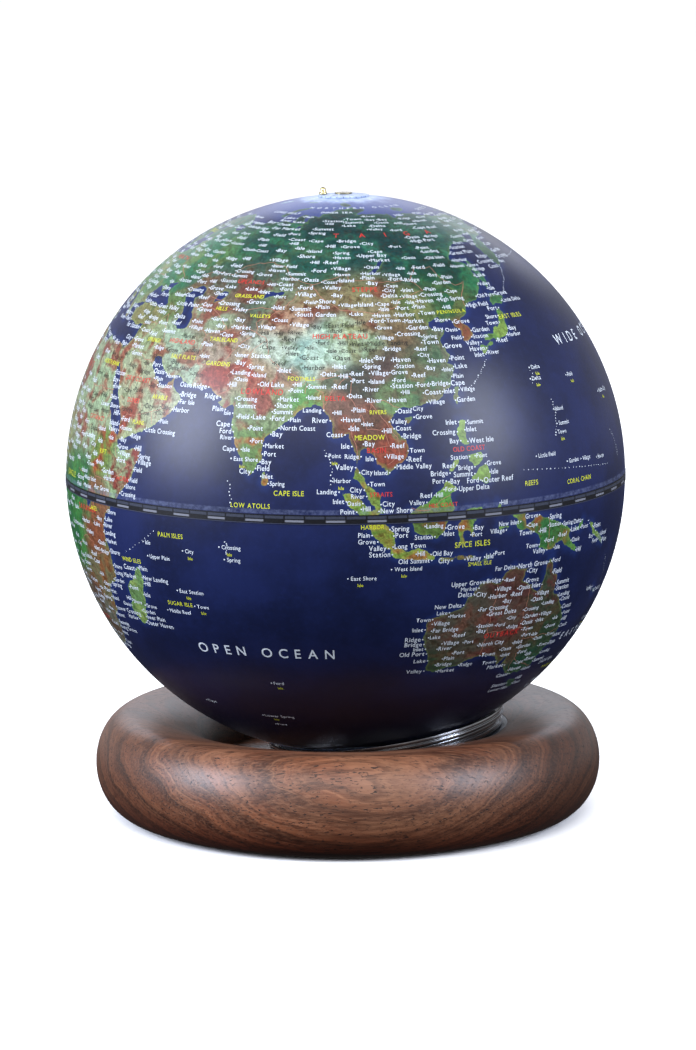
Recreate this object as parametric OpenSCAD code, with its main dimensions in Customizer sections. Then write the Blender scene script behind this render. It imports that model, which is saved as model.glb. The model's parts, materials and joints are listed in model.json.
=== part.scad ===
// Desktop globe resting in a tilted, turning collar on a round wooden base.
// Millimetres, +Z up, origin on the table under the middle of the globe.

/* [Globe] */
// Radius of the globe's printed surface
globe_r = 100; // [95:1:101]
// Height of the globe's centre above the table
globe_z = 122.5; // [122.5:0.5:130]
// Wall thickness of the two half shells
shell_wall = 1.8; // [1.2:0.2:3]
// Width of the scale strip that covers the seam at the equator
strip_w = 3.2; // [2.4:0.2:6]
// How far the scale strip stands proud of the shells
strip_proud = 0.2; // [0.1:0.05:0.6]
// Radius of the steel rod that ties the two shells together
rod_r = 3; // [2:0.5:4]

/* [Hour dial] */
// Radius of the small turning dial at the north pole
dial_r = 9; // [8.8:0.2:12]
// Thickness of the domed dial
dial_t = 0.42; // [0.3:0.02:0.6]
// Distance of the dial's knob from the polar axis
knob_reach = 7.2; // [5.5:0.1:7.4]
// Radius of the knob's dome
knob_r = 1.45; // [1.1:0.05:1.6]

/* [Wooden base] */
// Outer radius of the base ring
base_r = 91; // [88:1:100]
// Height of the wood from its flat underside to its crest
wood_h = 35.8; // [34.6:0.2:36]
// Horizontal reach of the rounding outside the crest
outer_round = 13; // [11:0.5:15]
// Horizontal reach of the dish inside the crest
dish_round = 29.5; // [27:0.5:30]

/* [Tilted collar] */
// Lean of the collar and its bearing, towards +X
collar_tilt = 8.7; // [6:0.1:9]
// Outer radius of the cradle ring under the globe
cradle_r = 43; // [42.6:0.1:43.2]
// Outer radius of the turntable's visible band
turntable_r = 41.6; // [41.4:0.1:42]
// Outer radius of the fixed bearing seat
seat_r = 43.4; // [43:0.1:43.6]
// Angle from the collar's axis at which the globe rests on its pad
pad_angle = 22; // [21.8:0.1:22.2]

/* [Bearing] */
// Number of bearing balls
ball_count = 24; // [8:1:30]
// Radius of the circle on which the balls run
ball_pitch_r = 36.5; // [36.4:0.1:36.6]
// Radius of the pivot bolt's shoulder
pivot_r = 3; // [2.5:0.1:3.5]

/* [Feet] */
// Number of rubber feet
foot_count = 4; // [3:1:8]
// Radius of each foot
foot_r = 7; // [5:0.5:8]
// Distance of the feet from the middle
foot_reach = 66; // [60:1:68]

/* [Hidden] */
$fn = 96;

eps = 0.01;
over = 1;                            // how far a cut reaches past its part
run_gap = 0.05;                      // running clearance of turning fits

// Wood: the underside stands foot_proud above the table
foot_proud = 0.8;
foot_recess = 1.6;
crest_r = base_r - outer_round;
dish_z = foot_proud + wood_h / 2;    // floor of the dish
arc_steps = 20;
wood_low = -88;                      // angle at which the outer rounding meets the underside
bore_top = 60;                       // depth from which the bore for the bearing is cut

// Collar: depths below the globe's centre, measured along the collar's axis
cradle_top = 91.3;
cradle_bottom = 94;
cradle_edge = 94.7;                  // inner edge of the cradle's cone
spigot_bottom = 96.5;
spigot_r = 40;
spigot_inner_r = 35.5;
neck_r = 40.4;
neck_bottom = 94.6;
band_bottom = 98;
seat_top = 98.6;
boss_r = 39.4;
seat_inner_r = 40;
upper_face = 100.3;                  // running face of the upper race
ball_depth = 101.75;
ball_r = 2;
lower_face = 103.2;                  // running face of the lower race
seat_floor = 105;
seat_bottom = 107;
race_inner_r = 33.6;
web_r = 31;
web_top = 102.6;
web_bottom = 104.2;
flange_bottom = 103.8;
bolt_head_r = 4.5;
bolt_head_top = 101;
washer_t = 0.4;
washer_r = 6;
bolt_end = 111;
nut_r = 5;
nut_top = 107.4;
nut_bottom = 110.4;
nut_pocket_r = 5.6;
nut_pocket_bottom = 111.6;
pad_r = 1.3;
pad_reach = globe_r + pad_r + run_gap;
cage_top = 101.3;
cage_bottom = 102.2;
cage_inner_r = 34;
cage_outer_r = 39.4;
socket_depth = 0.8;                  // hexagon sockets of the bolt and the screws
bolt_socket_r = 1.6;

// Seat screws
screw_count = 3;
screw_reach = 22;
screw_head_r = 3;
screw_head_h = 1.2;
screw_socket_r = 1.2;
screw_shank_r = 1.5;
screw_end = 114;

// Globe: heights above the globe's centre
inner_r = globe_r - shell_wall;
strip_t = 0.6;
bush_r = 9;
bush_face = 88;                      // inner face of the pole bushes
rod_end = 94.5;
rod_tap = 88;                        // bottom of the tapped holes in the rod
pole_hole_r = 1.6;
pole_shank_r = 1.5;
pole_head_r = 3;
pole_head_h = 0.4;
pole_slot_w = 0.6;
pole_slot_deep = 0.2;
pole_shank_in = 10;
join_gap = 0.15;
join_r = inner_r - join_gap;
join_wall = 2.2;
join_half = 4.5;
dial_lift = 0.08;                    // gap between the shell and the dial
dial_hole_r = 1.6;
dial_top = globe_r + dial_lift + dial_t;
knob_flange = 0.15;                  // how far the knob's flange stands out round its neck
knob_flange_h = 0.3;
knob_neck_h = 0.9;

// Places its children about the collar's axis, through the globe's centre
module collar_frame() {
    translate([0, 0, globe_z]) rotate([0, -collar_tilt, 0]) children();
}

// Places its children in the globe's own frame
module globe_frame() {
    translate([0, 0, globe_z]) children();
}

// Ring between two radii, from depth d1 down to depth d2
module ring(r_in, r_out, d1, d2) {
    difference() {
        translate([0, 0, -d2]) cylinder(r = r_out, h = d2 - d1);
        translate([0, 0, -d2 - eps]) cylinder(r = r_in, h = d2 - d1 + 2 * eps);
    }
}

// Disc from depth d1 down to depth d2
module disc(r, d1, d2) {
    translate([0, 0, -d2]) cylinder(r = r, h = d2 - d1);
}

// Ball groove, round in section
module ball_track(r) {
    rotate_extrude() translate([ball_pitch_r, -ball_depth]) circle(r = r, $fn = 48);
}

// Points of an elliptical arc from angle a1 to angle a2
function arc(cx, cy, rx, ry, a1, a2) = [
    for (i = [0 : arc_steps])
        let (a = a1 + (a2 - a1) * i / arc_steps)
        [cx + rx * cos(a), cy + ry * sin(a)]
];

// ---- Base ----

module base_ring() color("saddlebrown") difference() {
    rotate_extrude() polygon(concat(
        [[0, foot_proud], [crest_r, foot_proud]],
        arc(crest_r, dish_z, outer_round, wood_h / 2, wood_low, 90),
        arc(crest_r, dish_z, dish_round, wood_h / 2, 90 + 90 / arc_steps, 180),
        [[0, dish_z]]
    ));
    collar_frame() {
        translate([0, 0, -seat_bottom]) cylinder(r = seat_r, h = seat_bottom - bore_top);
        disc(nut_pocket_r, seat_bottom - eps, nut_pocket_bottom);
        screw_places() disc(screw_shank_r, seat_bottom - eps, screw_end);
    }
    foot_places() translate([0, 0, foot_proud - eps]) cylinder(r = foot_r, h = foot_recess + eps);
}

module foot_places() {
    for (i = [0 : foot_count - 1])
        rotate(180 / foot_count + i * 360 / foot_count) translate([foot_reach, 0, 0]) children();
}

module rubber_feet() color("dimgray") foot_places() cylinder(r = foot_r, h = foot_proud + foot_recess);

module screw_places() {
    for (i = [0 : screw_count - 1])
        rotate(60 + i * 360 / screw_count) translate([screw_reach, 0, 0]) children();
}

module bearing_seat() color("silver") collar_frame() difference() {
    disc(seat_r, seat_top, seat_bottom);
    translate([0, 0, -seat_floor]) cylinder(r = seat_inner_r, h = seat_floor - seat_top + over);
    disc(pivot_r - run_gap, seat_floor - over, seat_bottom + over);
    screw_places() disc(screw_shank_r, seat_floor - over, seat_bottom + over);
    screw_places() disc(screw_head_r, seat_floor - over, seat_floor + screw_head_h);
}

module seat_screws() color("gainsboro") collar_frame() screw_places() difference() {
    union() {
        disc(screw_head_r, seat_floor, seat_floor + screw_head_h);
        disc(screw_shank_r, seat_floor + screw_head_h - eps, screw_end);
    }
    translate([0, 0, -seat_floor - socket_depth]) cylinder(r = screw_socket_r, h = over, $fn = 6);
}

module lower_race() color("lightgray") collar_frame() difference() {
    ring(race_inner_r, seat_inner_r, lower_face, seat_floor);
    ball_track(ball_r);
}

module bearing_balls() color("white") collar_frame() {
    for (i = [0 : ball_count - 1])
        rotate(i * 360 / ball_count) translate([ball_pitch_r, 0, -ball_depth]) sphere(r = ball_r, $fn = 32);
}

module ball_cage() color("goldenrod") collar_frame() difference() {
    ring(cage_inner_r, cage_outer_r, cage_top, cage_bottom);
    for (i = [0 : ball_count - 1])
        rotate(i * 360 / ball_count) translate([ball_pitch_r, 0, -cage_bottom - over])
            cylinder(r = ball_r + run_gap, h = cage_bottom - cage_top + 2 * over);
}

module pivot_bolt() color("gainsboro") collar_frame() difference() {
    union() {
        disc(bolt_head_r, bolt_head_top, web_top - washer_t);
        disc(pivot_r - run_gap, web_top - washer_t - eps, bolt_end);
    }
    translate([0, 0, -bolt_head_top - socket_depth]) cylinder(r = bolt_socket_r, h = over, $fn = 6);
}

module thrust_washer() color("goldenrod") collar_frame()
    ring(pivot_r - run_gap, washer_r, web_top - washer_t, web_top - run_gap);

module pivot_nut() color("gainsboro") collar_frame() difference() {
    translate([0, 0, -nut_bottom]) cylinder(r = nut_r, h = nut_bottom - nut_top, $fn = 6);
    disc(pivot_r - run_gap, nut_top - over, nut_bottom + over);
}

// ---- Turntable ----

module turntable() color("silver") collar_frame() difference() {
    union() {
        ring(spigot_r, neck_r, cradle_bottom, neck_bottom);
        ring(spigot_r, turntable_r, neck_bottom, spigot_bottom);
        ring(race_inner_r, turntable_r, spigot_bottom, band_bottom);
        ring(web_r, race_inner_r, spigot_bottom, flange_bottom);
        disc(web_r + eps, web_top, web_bottom);
    }
    disc(pivot_r, web_top - over, web_bottom + over);
}

module upper_race() color("lightgray") collar_frame() difference() {
    ring(race_inner_r, boss_r, band_bottom, upper_face);
    ball_track(ball_r + run_gap);
}

module cradle_ring() color("silver") collar_frame() difference() {
    rotate_extrude() polygon([
        [spigot_inner_r, -spigot_bottom], [spigot_r, -spigot_bottom], [spigot_r, -cradle_bottom],
        [cradle_r, -cradle_bottom], [cradle_r, -cradle_top], [spigot_inner_r, -cradle_edge]
    ]);
    pad_body();
}

module pad_body() {
    rotate_extrude() translate([pad_reach * sin(pad_angle), -pad_reach * cos(pad_angle)])
        circle(r = pad_r, $fn = 48);
}

module cradle_pad() color("dimgray") collar_frame() pad_body();

// ---- Globe ----

// Upper half shell, open below, with a seat for the scale strip and a hole at its pole
module half_shell() difference() {
    sphere(r = globe_r);
    sphere(r = inner_r);
    translate([-globe_r - over, -globe_r - over, -globe_r - over])
        cube([2 * (globe_r + over), 2 * (globe_r + over), globe_r + over]);
    ring(globe_r + strip_proud - strip_t, globe_r + over, -strip_w / 2, strip_w / 2);
    cylinder(r = pole_hole_r, h = globe_r + over);
}

module north_shell() color("midnightblue") globe_frame() half_shell();

module south_shell() color("darkblue") globe_frame() mirror([0, 0, 1]) half_shell();

module equator_strip() color("black") globe_frame()
    ring(globe_r + strip_proud - strip_t, globe_r + strip_proud, -strip_w / 2, strip_w / 2);

module joining_ring() color("white") globe_frame()
    ring(join_r - join_wall, join_r, -join_half, join_half);

module axis_rod() color("lightsteelblue") globe_frame() difference() {
    translate([0, 0, -rod_end]) cylinder(r = rod_r, h = 2 * rod_end);
    pole_pair() translate([0, 0, rod_tap]) cylinder(r = pole_shank_r, h = rod_end - rod_tap + over);
}

// Repeats its children at the south pole
module pole_pair() {
    children();
    mirror([0, 0, 1]) children();
}

module pole_bush() difference() {
    intersection() {
        sphere(r = inner_r);
        translate([0, 0, bush_face]) cylinder(r = bush_r, h = globe_r - bush_face);
    }
    translate([0, 0, bush_face - over]) cylinder(r = rod_r, h = rod_end - bush_face + over);
    cylinder(r = pole_hole_r, h = globe_r);
}

module pole_bushes() color("ivory") globe_frame() pole_pair() pole_bush();

module pole_screw(seat) difference() {
    union() {
        translate([0, 0, globe_r - pole_shank_in]) cylinder(r = pole_shank_r, h = pole_shank_in + seat - globe_r + eps);
        translate([0, 0, seat]) cylinder(r = pole_head_r, h = pole_head_h);
    }
    translate([-pole_head_r, -pole_slot_w / 2, seat + pole_head_h - pole_slot_deep])
        cube([2 * pole_head_r, pole_slot_w, over]);
}

module pole_screws() color("gold") globe_frame() {
    pole_screw(dial_top + run_gap);
    mirror([0, 0, 1]) pole_screw(globe_r);
}

// ---- Hour dial ----

module hour_dial() color("lightblue") globe_frame() difference() {
    intersection() {
        sphere(r = dial_top);
        cylinder(r = dial_r, h = globe_r + over);
    }
    sphere(r = globe_r + dial_lift);
    cylinder(r = dial_hole_r, h = globe_r + over);
    translate([-knob_reach, 0, 0]) cylinder(r = knob_r / 2, h = globe_r + over);
}

// Turned knob: stem through the dial, flange, neck and dome
module dial_knob() color("gold") globe_frame() translate([-knob_reach, 0, 0]) {
    rim_z = sqrt(pow(dial_top, 2) - pow(knob_reach - knob_r, 2));
    stem_z = sqrt(pow(globe_r + dial_lift, 2) - pow(knob_reach, 2)) + run_gap;
    flange_z = rim_z + run_gap;
    dome_z = flange_z + knob_flange_h + knob_neck_h;
    rotate_extrude() polygon(concat(
        [
            [0, stem_z], [knob_r / 2, stem_z], [knob_r / 2, flange_z], [knob_r, flange_z],
            [knob_r, flange_z + knob_flange_h], [knob_r - knob_flange, flange_z + knob_flange_h]
        ],
        arc(0, dome_z, knob_r - knob_flange, knob_r - knob_flange, 0, 90)
    ));
}

base_ring();
rubber_feet();
bearing_seat();
seat_screws();
lower_race();
bearing_balls();
ball_cage();
pivot_bolt();
thrust_washer();
pivot_nut();
turntable();
upper_race();
cradle_ring();
cradle_pad();
north_shell();
south_shell();
equator_strip();
joining_ring();
axis_rod();
pole_bushes();
pole_screws();
hour_dial();
dial_knob();
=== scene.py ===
"""Looks of the desktop globe: a printed ball in a polished turning collar on a walnut ring.

Metres, +Z up, origin on the table under the globe's centre. The object's own sizes are typed in
millimetres and multiplied by MM. Azimuth 0 of every view looks along +Y.
"""

import json
import math
import random

import bmesh
import bpy
import numpy as np
from mathutils import Matrix, Vector


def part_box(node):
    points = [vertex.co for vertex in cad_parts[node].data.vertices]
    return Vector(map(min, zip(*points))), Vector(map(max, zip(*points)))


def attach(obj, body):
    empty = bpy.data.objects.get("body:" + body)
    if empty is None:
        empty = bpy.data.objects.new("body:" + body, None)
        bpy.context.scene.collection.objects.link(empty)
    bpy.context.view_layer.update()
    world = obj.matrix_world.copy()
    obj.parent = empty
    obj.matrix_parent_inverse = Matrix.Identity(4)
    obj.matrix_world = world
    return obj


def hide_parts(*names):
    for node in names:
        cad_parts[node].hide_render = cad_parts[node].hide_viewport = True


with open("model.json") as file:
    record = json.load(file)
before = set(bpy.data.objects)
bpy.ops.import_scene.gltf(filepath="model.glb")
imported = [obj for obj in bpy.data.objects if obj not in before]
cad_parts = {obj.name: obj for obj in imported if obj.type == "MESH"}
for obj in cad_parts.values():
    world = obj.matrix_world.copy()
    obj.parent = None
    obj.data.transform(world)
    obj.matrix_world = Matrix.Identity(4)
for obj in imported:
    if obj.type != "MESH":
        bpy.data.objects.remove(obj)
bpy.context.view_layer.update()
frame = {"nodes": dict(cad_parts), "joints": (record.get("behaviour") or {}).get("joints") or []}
MM = 0.001

# ---- Sizes taken from the frame ----

STRIP_PROUD = 0.2 * MM                      # the scale strip stands this far proud of the map
strip_low, strip_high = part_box("equator_strip")
wood_low, wood_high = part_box("base_ring")
knob_low, knob_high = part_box("dial_knob")
feet_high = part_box("rubber_feet")[1]
dial_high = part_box("hour_dial")[1]
GLOBE_R = strip_high.x - STRIP_PROUD
GLOBE_C = Vector((0, 0, (strip_low.z + strip_high.z) / 2))
STRIP_HALF = (strip_high.z - strip_low.z) / 2
COLLAR_AXIS = Vector(next(j for j in frame["joints"] if j["name"] == "turntable_spin")["axis"])
LEAN = Vector((0, 0, 1)).rotation_difference(COLLAR_AXIS)
COLLAR = Matrix.Translation(GLOBE_C) @ LEAN.to_matrix().to_4x4()

# ---- Mesh helpers ----

WELD = 0.01 * MM                            # points closer than this are joined after a cut
SHARP_FROM = 30                             # edges that turn by more degrees than this stay sharp


def new_object(name, data, place=None):
    obj = bpy.data.objects.new(name, data)
    bpy.context.scene.collection.objects.link(obj)
    if place is not None:
        obj.matrix_world = place
    return obj


def new_mesh(name, points, faces, smooth_angle=None):
    """A smooth mesh from (n, 3) points and a list of faces; edges sharper than smooth_angle stay sharp."""
    mesh = bpy.data.meshes.new(name)
    sizes = np.fromiter((len(f) for f in faces), np.int32, len(faces))
    corners = np.fromiter((i for f in faces for i in f), np.int32, int(sizes.sum()))
    mesh.vertices.add(len(points))
    mesh.vertices.foreach_set("co", np.asarray(points, np.float32).ravel())
    mesh.loops.add(len(corners))
    mesh.loops.foreach_set("vertex_index", corners)
    mesh.polygons.add(len(faces))
    mesh.polygons.foreach_set("loop_start", np.concatenate(([0], np.cumsum(sizes)[:-1])).astype(np.int32))
    mesh.update(calc_edges=True)
    mesh.validate()
    mesh.shade_smooth()
    if smooth_angle is not None:
        mesh.set_sharp_from_angle(angle=math.radians(smooth_angle))
    return mesh


def circle(count):
    """Cosine and sine of evenly spaced turns."""
    angles = np.arange(count) * 2 * math.pi / count
    return np.cos(angles), np.sin(angles)


def arc(cx, cy, rx, ry, start, end, steps):
    """Points of an elliptical arc, angles in degrees."""
    angles = np.radians(np.linspace(start, end, steps + 1))
    return [(cx + rx * math.cos(a), cy + ry * math.sin(a)) for a in angles]


def eased(corners, radius, steps=3, parts=2.2):
    """A closed outline with each corner rounded, over at most one part in 2.2 of the sides beside it."""
    outline = []
    for i, corner in enumerate(corners):
        p = Vector(corner)
        before = Vector(corners[i - 1]) - p
        after = Vector(corners[(i + 1) % len(corners)]) - p
        reach = min(radius, before.length / parts, after.length / parts)
        a = p + before.normalized() * reach
        b = p + after.normalized() * reach
        for t in (k / steps for k in range(steps + 1)):
            outline.append(tuple(a * (1 - t) ** 2 + p * 2 * t * (1 - t) + b * t * t))
    return outline


def lathe(name, outline, place=None, turns=192, smooth_angle=SHARP_FROM):
    """Turns a closed outline of (r, h) points, in either sense, about local Z; faces point outward."""
    r, h = np.array(outline).T
    if np.sum(r * np.roll(h, -1) - np.roll(r, -1) * h) < 0:
        r, h = r[::-1], h[::-1]
    n = len(r)
    cosine, sine = circle(turns)
    points = np.stack([np.outer(cosine, r), np.outer(sine, r), np.tile(h, (turns, 1))], -1)
    faces = []
    for here in range(0, turns * n, n):
        there = (here + n) % (turns * n)
        faces += [(here + k, there + k, there + (k + 1) % n, here + (k + 1) % n) for k in range(n)]
    return new_object(name, new_mesh(name, points.reshape(-1, 3), faces, smooth_angle), place)


def plug(name, r, low, high, place, sides=128):
    """A closed cylinder used as a cutter."""
    rim = np.stack(circle(sides), 1) * r
    points = np.vstack([np.column_stack([rim, np.full(sides, z)]) for z in (low, high)])
    faces = [(i, (i + 1) % sides, sides + (i + 1) % sides, sides + i) for i in range(sides)]
    faces += [tuple(reversed(range(sides))), tuple(range(sides, 2 * sides))]
    return new_object(name, new_mesh(name, points, faces, SHARP_FROM), place)


def cut(obj, cutters):
    """Cuts the cutters out of obj and removes them."""
    for cutter in cutters:
        boolean = obj.modifiers.new(cutter.name, "BOOLEAN")
        boolean.operation, boolean.solver, boolean.object = "DIFFERENCE", "EXACT", cutter
    bpy.context.view_layer.update()
    mesh = bpy.data.meshes.new_from_object(obj.evaluated_get(bpy.context.evaluated_depsgraph_get()))
    work = bmesh.new()
    work.from_mesh(mesh)
    bmesh.ops.remove_doubles(work, verts=work.verts, dist=WELD)
    bmesh.ops.dissolve_degenerate(work, edges=work.edges, dist=WELD)
    work.to_mesh(mesh)
    work.free()
    obj.modifiers.clear()
    obj.data = mesh
    mesh.set_sharp_from_angle(angle=math.radians(SHARP_FROM))
    for cutter in cutters:
        bpy.data.objects.remove(cutter)


def piece(obj, body, slot, material, *nodes):
    """obj rides on a body, takes the material and stands for these CAD nodes, which it hides; slot is not
    used.
    """
    obj.data.materials.clear()
    obj.data.materials.append(material)
    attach(obj, body)
    if nodes:
        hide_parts(*nodes)
    return obj


# ---- Shader helpers ----


def colour(text):
    """Linear RGBA of a six-digit sRGB hex colour."""
    parts = [int(text[i:i + 2], 16) / 255 for i in (0, 2, 4)]
    return tuple(c / 12.92 if c <= 0.04045 else ((c + 0.055) / 1.055) ** 2.4 for c in parts) + (1.0,)


class Shader:
    """Builds one material. Most methods add a node and return its output socket; vector returns the node."""

    def __init__(self, name, **surface):
        self.material = bpy.data.materials.new(name)
        self.material.use_nodes = True
        self.tree = self.material.node_tree
        self.surface = self.tree.nodes["Principled BSDF"]
        self.place = self.tree.nodes.new("ShaderNodeTexCoord").outputs["Object"]
        self.finish(**surface)

    def feed(self, node, sockets):
        for key, value in sockets.items():
            socket = node.inputs[key]
            if isinstance(value, bpy.types.NodeSocket):
                self.tree.links.new(value, socket)
            else:
                socket.default_value = value
        return node

    def math(self, operation, *values):
        node = self.tree.nodes.new("ShaderNodeMath")
        node.operation = operation
        return self.feed(node, dict(enumerate(values))).outputs[0]

    def plus(self, a, b):
        return self.math("ADD", a, b)

    def minus(self, a, b):
        return self.math("SUBTRACT", a, b)

    def times(self, a, b):
        return self.math("MULTIPLY", a, b)

    def over(self, a, b):
        return self.math("DIVIDE", a, b)

    def scaled(self, value, factor, start):
        """start plus the value times the factor."""
        return self.math("MULTIPLY_ADD", value, factor, start)

    def vector(self, operation, *values):
        node = self.tree.nodes.new("ShaderNodeVectorMath")
        node.operation = operation
        return self.feed(node, dict(enumerate(values)))

    def length(self, vector):
        return self.vector("LENGTH", vector).outputs["Value"]

    def shifted(self, vector, by):
        return self.vector("ADD", vector, by).outputs["Vector"]

    def millimetres(self, middle=(0, 0, 0)):
        """Place on the piece in millimetres from a middle."""
        start = self.vector("SUBTRACT", self.place, tuple(middle)).outputs["Vector"]
        return self.feed(self.vector("SCALE", start), {"Scale": 1 / MM}).outputs["Vector"]

    def split(self, vector):
        node = self.tree.nodes.new("ShaderNodeSeparateXYZ")
        return tuple(self.feed(node, {0: vector}).outputs)

    def join(self, x, y, z=0.0):
        node = self.tree.nodes.new("ShaderNodeCombineXYZ")
        return self.feed(node, {0: x, 1: y, 2: z}).outputs[0]

    def noise(self, vector, scale, detail=4.0, roughness=0.5, distortion=0.0):
        node = self.tree.nodes.new("ShaderNodeTexNoise")
        sizes = {"Scale": scale, "Detail": detail, "Roughness": roughness, "Distortion": distortion}
        return self.feed(node, {"Vector": vector, **sizes}).outputs[0]

    def step(self, value, low, high, first=0.0, last=1.0):
        """Smoothly from first at low to last at high."""
        node = self.tree.nodes.new("ShaderNodeMapRange")
        node.interpolation_type = "SMOOTHSTEP"
        sizes = {"From Min": low, "From Max": high, "To Min": first, "To Max": last}
        return self.feed(node, {"Value": value, **sizes}).outputs[0]

    def mix(self, factor, a, b, blend="MIX"):
        """From a to b; a hex text stands for its colour."""
        node = self.tree.nodes.new("ShaderNodeMix")
        node.data_type, node.blend_type = "RGBA", blend
        a, b = (colour(c) if isinstance(c, str) else c for c in (a, b))
        return self.feed(node, {0: factor, 6: a, 7: b}).outputs[2]

    def tinted(self, factor, base, tint):
        """The base multiplied by a tint, as far as the factor goes."""
        return self.mix(factor, base, self.mix(1.0, base, tint, "MULTIPLY"))

    def ramp(self, factor, *stops):
        """stops are (position, sRGB hex)."""
        node = self.tree.nodes.new("ShaderNodeValToRGB")
        marks = node.color_ramp.elements
        while len(marks) < len(stops):
            marks.new(0.5)
        for mark, (position, text) in zip(marks, stops):
            mark.position, mark.color = position, colour(text)
        return self.feed(node, {0: factor}).outputs[0]

    def attribute(self, name, output):
        node = self.tree.nodes.new("ShaderNodeAttribute")
        node.attribute_name = name
        return node.outputs[output]

    def bump(self, height, strength, depth):
        node = self.tree.nodes.new("ShaderNodeBump")
        self.feed(node, {"Height": height, "Strength": strength, "Distance": depth})
        self.finish(Normal=node.outputs[0])

    def finish(self, **sockets):
        self.feed(self.surface, {key.replace("_", " "): value for key, value in sockets.items()})
        return self.material


# ---- Materials; sizes inside them are millimetres ----

HEART = (14.0, -46.0)                       # Y and Z of the axis of the tree's growth layers, along X
WIDE_LAYER = 7.3
NARROW_LAYER = 2.3
HOURS = 24
TICKS_FROM = 7.7                            # inner ends of the hour dial's ticks
TICK_HALF = 0.12                            # half a tick's width
DIAL_RING = 5.1                             # radius of the ring inside the numerals
SCALE_CELLS = 90.0                          # one cell of the equator's scale is four degrees


def walnut():
    """Oiled walnut: growth layers about an axis along X, fibres and short pores along X."""
    s = Shader("walnut", Specular_IOR_Level=0.25, Coat_Weight=0.55, Coat_Roughness=0.45)
    p = s.millimetres()
    x, y, z = s.split(p)

    def along_grain(stretch):
        return s.join(s.times(x, stretch), y, z)

    # Depth through the growth layers
    warp = s.scaled(s.noise(along_grain(0.35), 0.022, 2.0), 15.0, -7.5)
    wave = s.scaled(s.noise(along_grain(0.2), 0.09, 3.0), 3.6, -1.8)
    from_heart = s.length(s.join(0.0, s.plus(y, -HEART[0]), s.plus(z, -HEART[1])))
    bow = s.times(s.times(x, x), 0.0016)
    depth = s.plus(s.plus(from_heart, bow), s.plus(warp, wave))
    layer = s.math("FRACT", s.over(depth, WIDE_LAYER))
    narrow = s.math("FRACT", s.over(depth, NARROW_LAYER))
    lines = s.noise(s.join(s.times(x, 0.02), depth), 1.3, 3.0, 0.7)

    brown = s.ramp(
        layer, (0.0, "5c3826"), (0.14, "7c4d36"), (0.5, "6c4230"), (0.8, "4f2d1e"), (0.94, "2e170e"),
        (1.0, "5c3826"))
    pale = s.ramp(layer, (0.0, "6f4936"), (0.5, "815a45"), (0.9, "55372a"), (1.0, "6f4936"))
    wood = s.mix(s.step(s.noise(p, 0.03, 2.0), 0.4, 0.64), brown, pale)
    wood = s.mix(s.step(narrow, 0.5, 0.98, 0.0, 0.5), wood, "3b2217")
    wood = s.mix(s.step(lines, 0.42, 0.7, 0.0, 0.65), wood, "41261a")
    wood = s.mix(s.step(lines, 0.48, 0.28, 0.0, 0.5), wood, "a0755a")
    fibre = s.noise(along_grain(0.06), 1.5, 5.0, 0.65)
    wood = s.mix(s.step(fibre, 0.4, 0.72, 0.0, 0.4), wood, "98705a")
    streak = s.noise(along_grain(0.1), 0.45, 3.0, 0.6)
    wood = s.mix(s.step(streak, 0.5, 0.72, 0.0, 0.6), wood, "3c2116")
    pore = s.noise(along_grain(0.26), 1.5, 2.0, 0.65)
    pores = s.times(s.step(pore, 0.58, 0.64), s.step(narrow, 0.1, 0.7, 1.0, 0.5))
    wood = s.mix(s.times(pores, 0.95), wood, "170a06")
    # Painted shade: the wood darker and greyer towards both sides, and darker and warmer towards its foot
    sides = s.plus(s.step(x, 22.0, 84.0, 0.0, 0.85), s.step(x, -34.0, -88.0, 0.0, 0.5))
    wood = s.tinted(sides, wood, "7e6c62")
    # painted shade towards the foot of the ring
    wood = s.tinted(s.step(z, 18.0, 2.0, 0.0, 0.9), wood, "a8623c")
    wood = s.mix(1.0, wood, (1.0, 0.92, 0.8, 1.0), "MULTIPLY")
    s.bump(s.minus(s.times(fibre, 0.25), pores), 0.5, 0.07 * MM)
    return s.finish(Base_Color=wood, Roughness=s.plus(s.step(fibre, 0.3, 0.8, 0.4, 0.5), s.times(pores, 0.2)))


def turned_metal(name, dark, light, roughness):
    """Polished metal with faint circular turning marks about the piece's own Z axis."""
    s = Shader(name, Metallic=1.0)
    p = s.millimetres()
    x, y, z = s.split(p)
    radius = s.length(s.join(x, y))
    marks = s.noise(s.join(s.times(radius, 9.0), s.times(z, 9.0)), 1.0, 3.0, 0.7)
    clouds = s.noise(p, 0.12, 3.0)
    s.bump(marks, 0.12, 0.02 * MM)
    tones = s.mix(s.step(clouds, 0.35, 0.7), dark, light)
    return s.finish(Base_Color=tones, Roughness=s.step(marks, 0.3, 0.7, roughness * 0.8, roughness * 1.3))


def plain(name, dark, light, speck, roughness, metallic=1.0, scale=0.9, depth=0.02):
    """Plain part finish: two close tones in soft clouds, with a fine grain of specks."""
    s = Shader(name, Metallic=metallic)
    p = s.millimetres()
    clouds = s.noise(p, 0.15, 3.0)
    grain = s.noise(p, scale, 4.0, 0.65)
    s.bump(grain, 0.3, depth * MM)
    tones = s.mix(s.step(clouds, 0.3, 0.7), dark, light)
    tones = s.mix(s.step(grain, 0.5, 0.85, 0.0, 0.25), tones, speck)
    return s.finish(Base_Color=tones, Roughness=s.step(grain, 0.3, 0.75, roughness * 0.85, roughness * 1.2))


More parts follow.
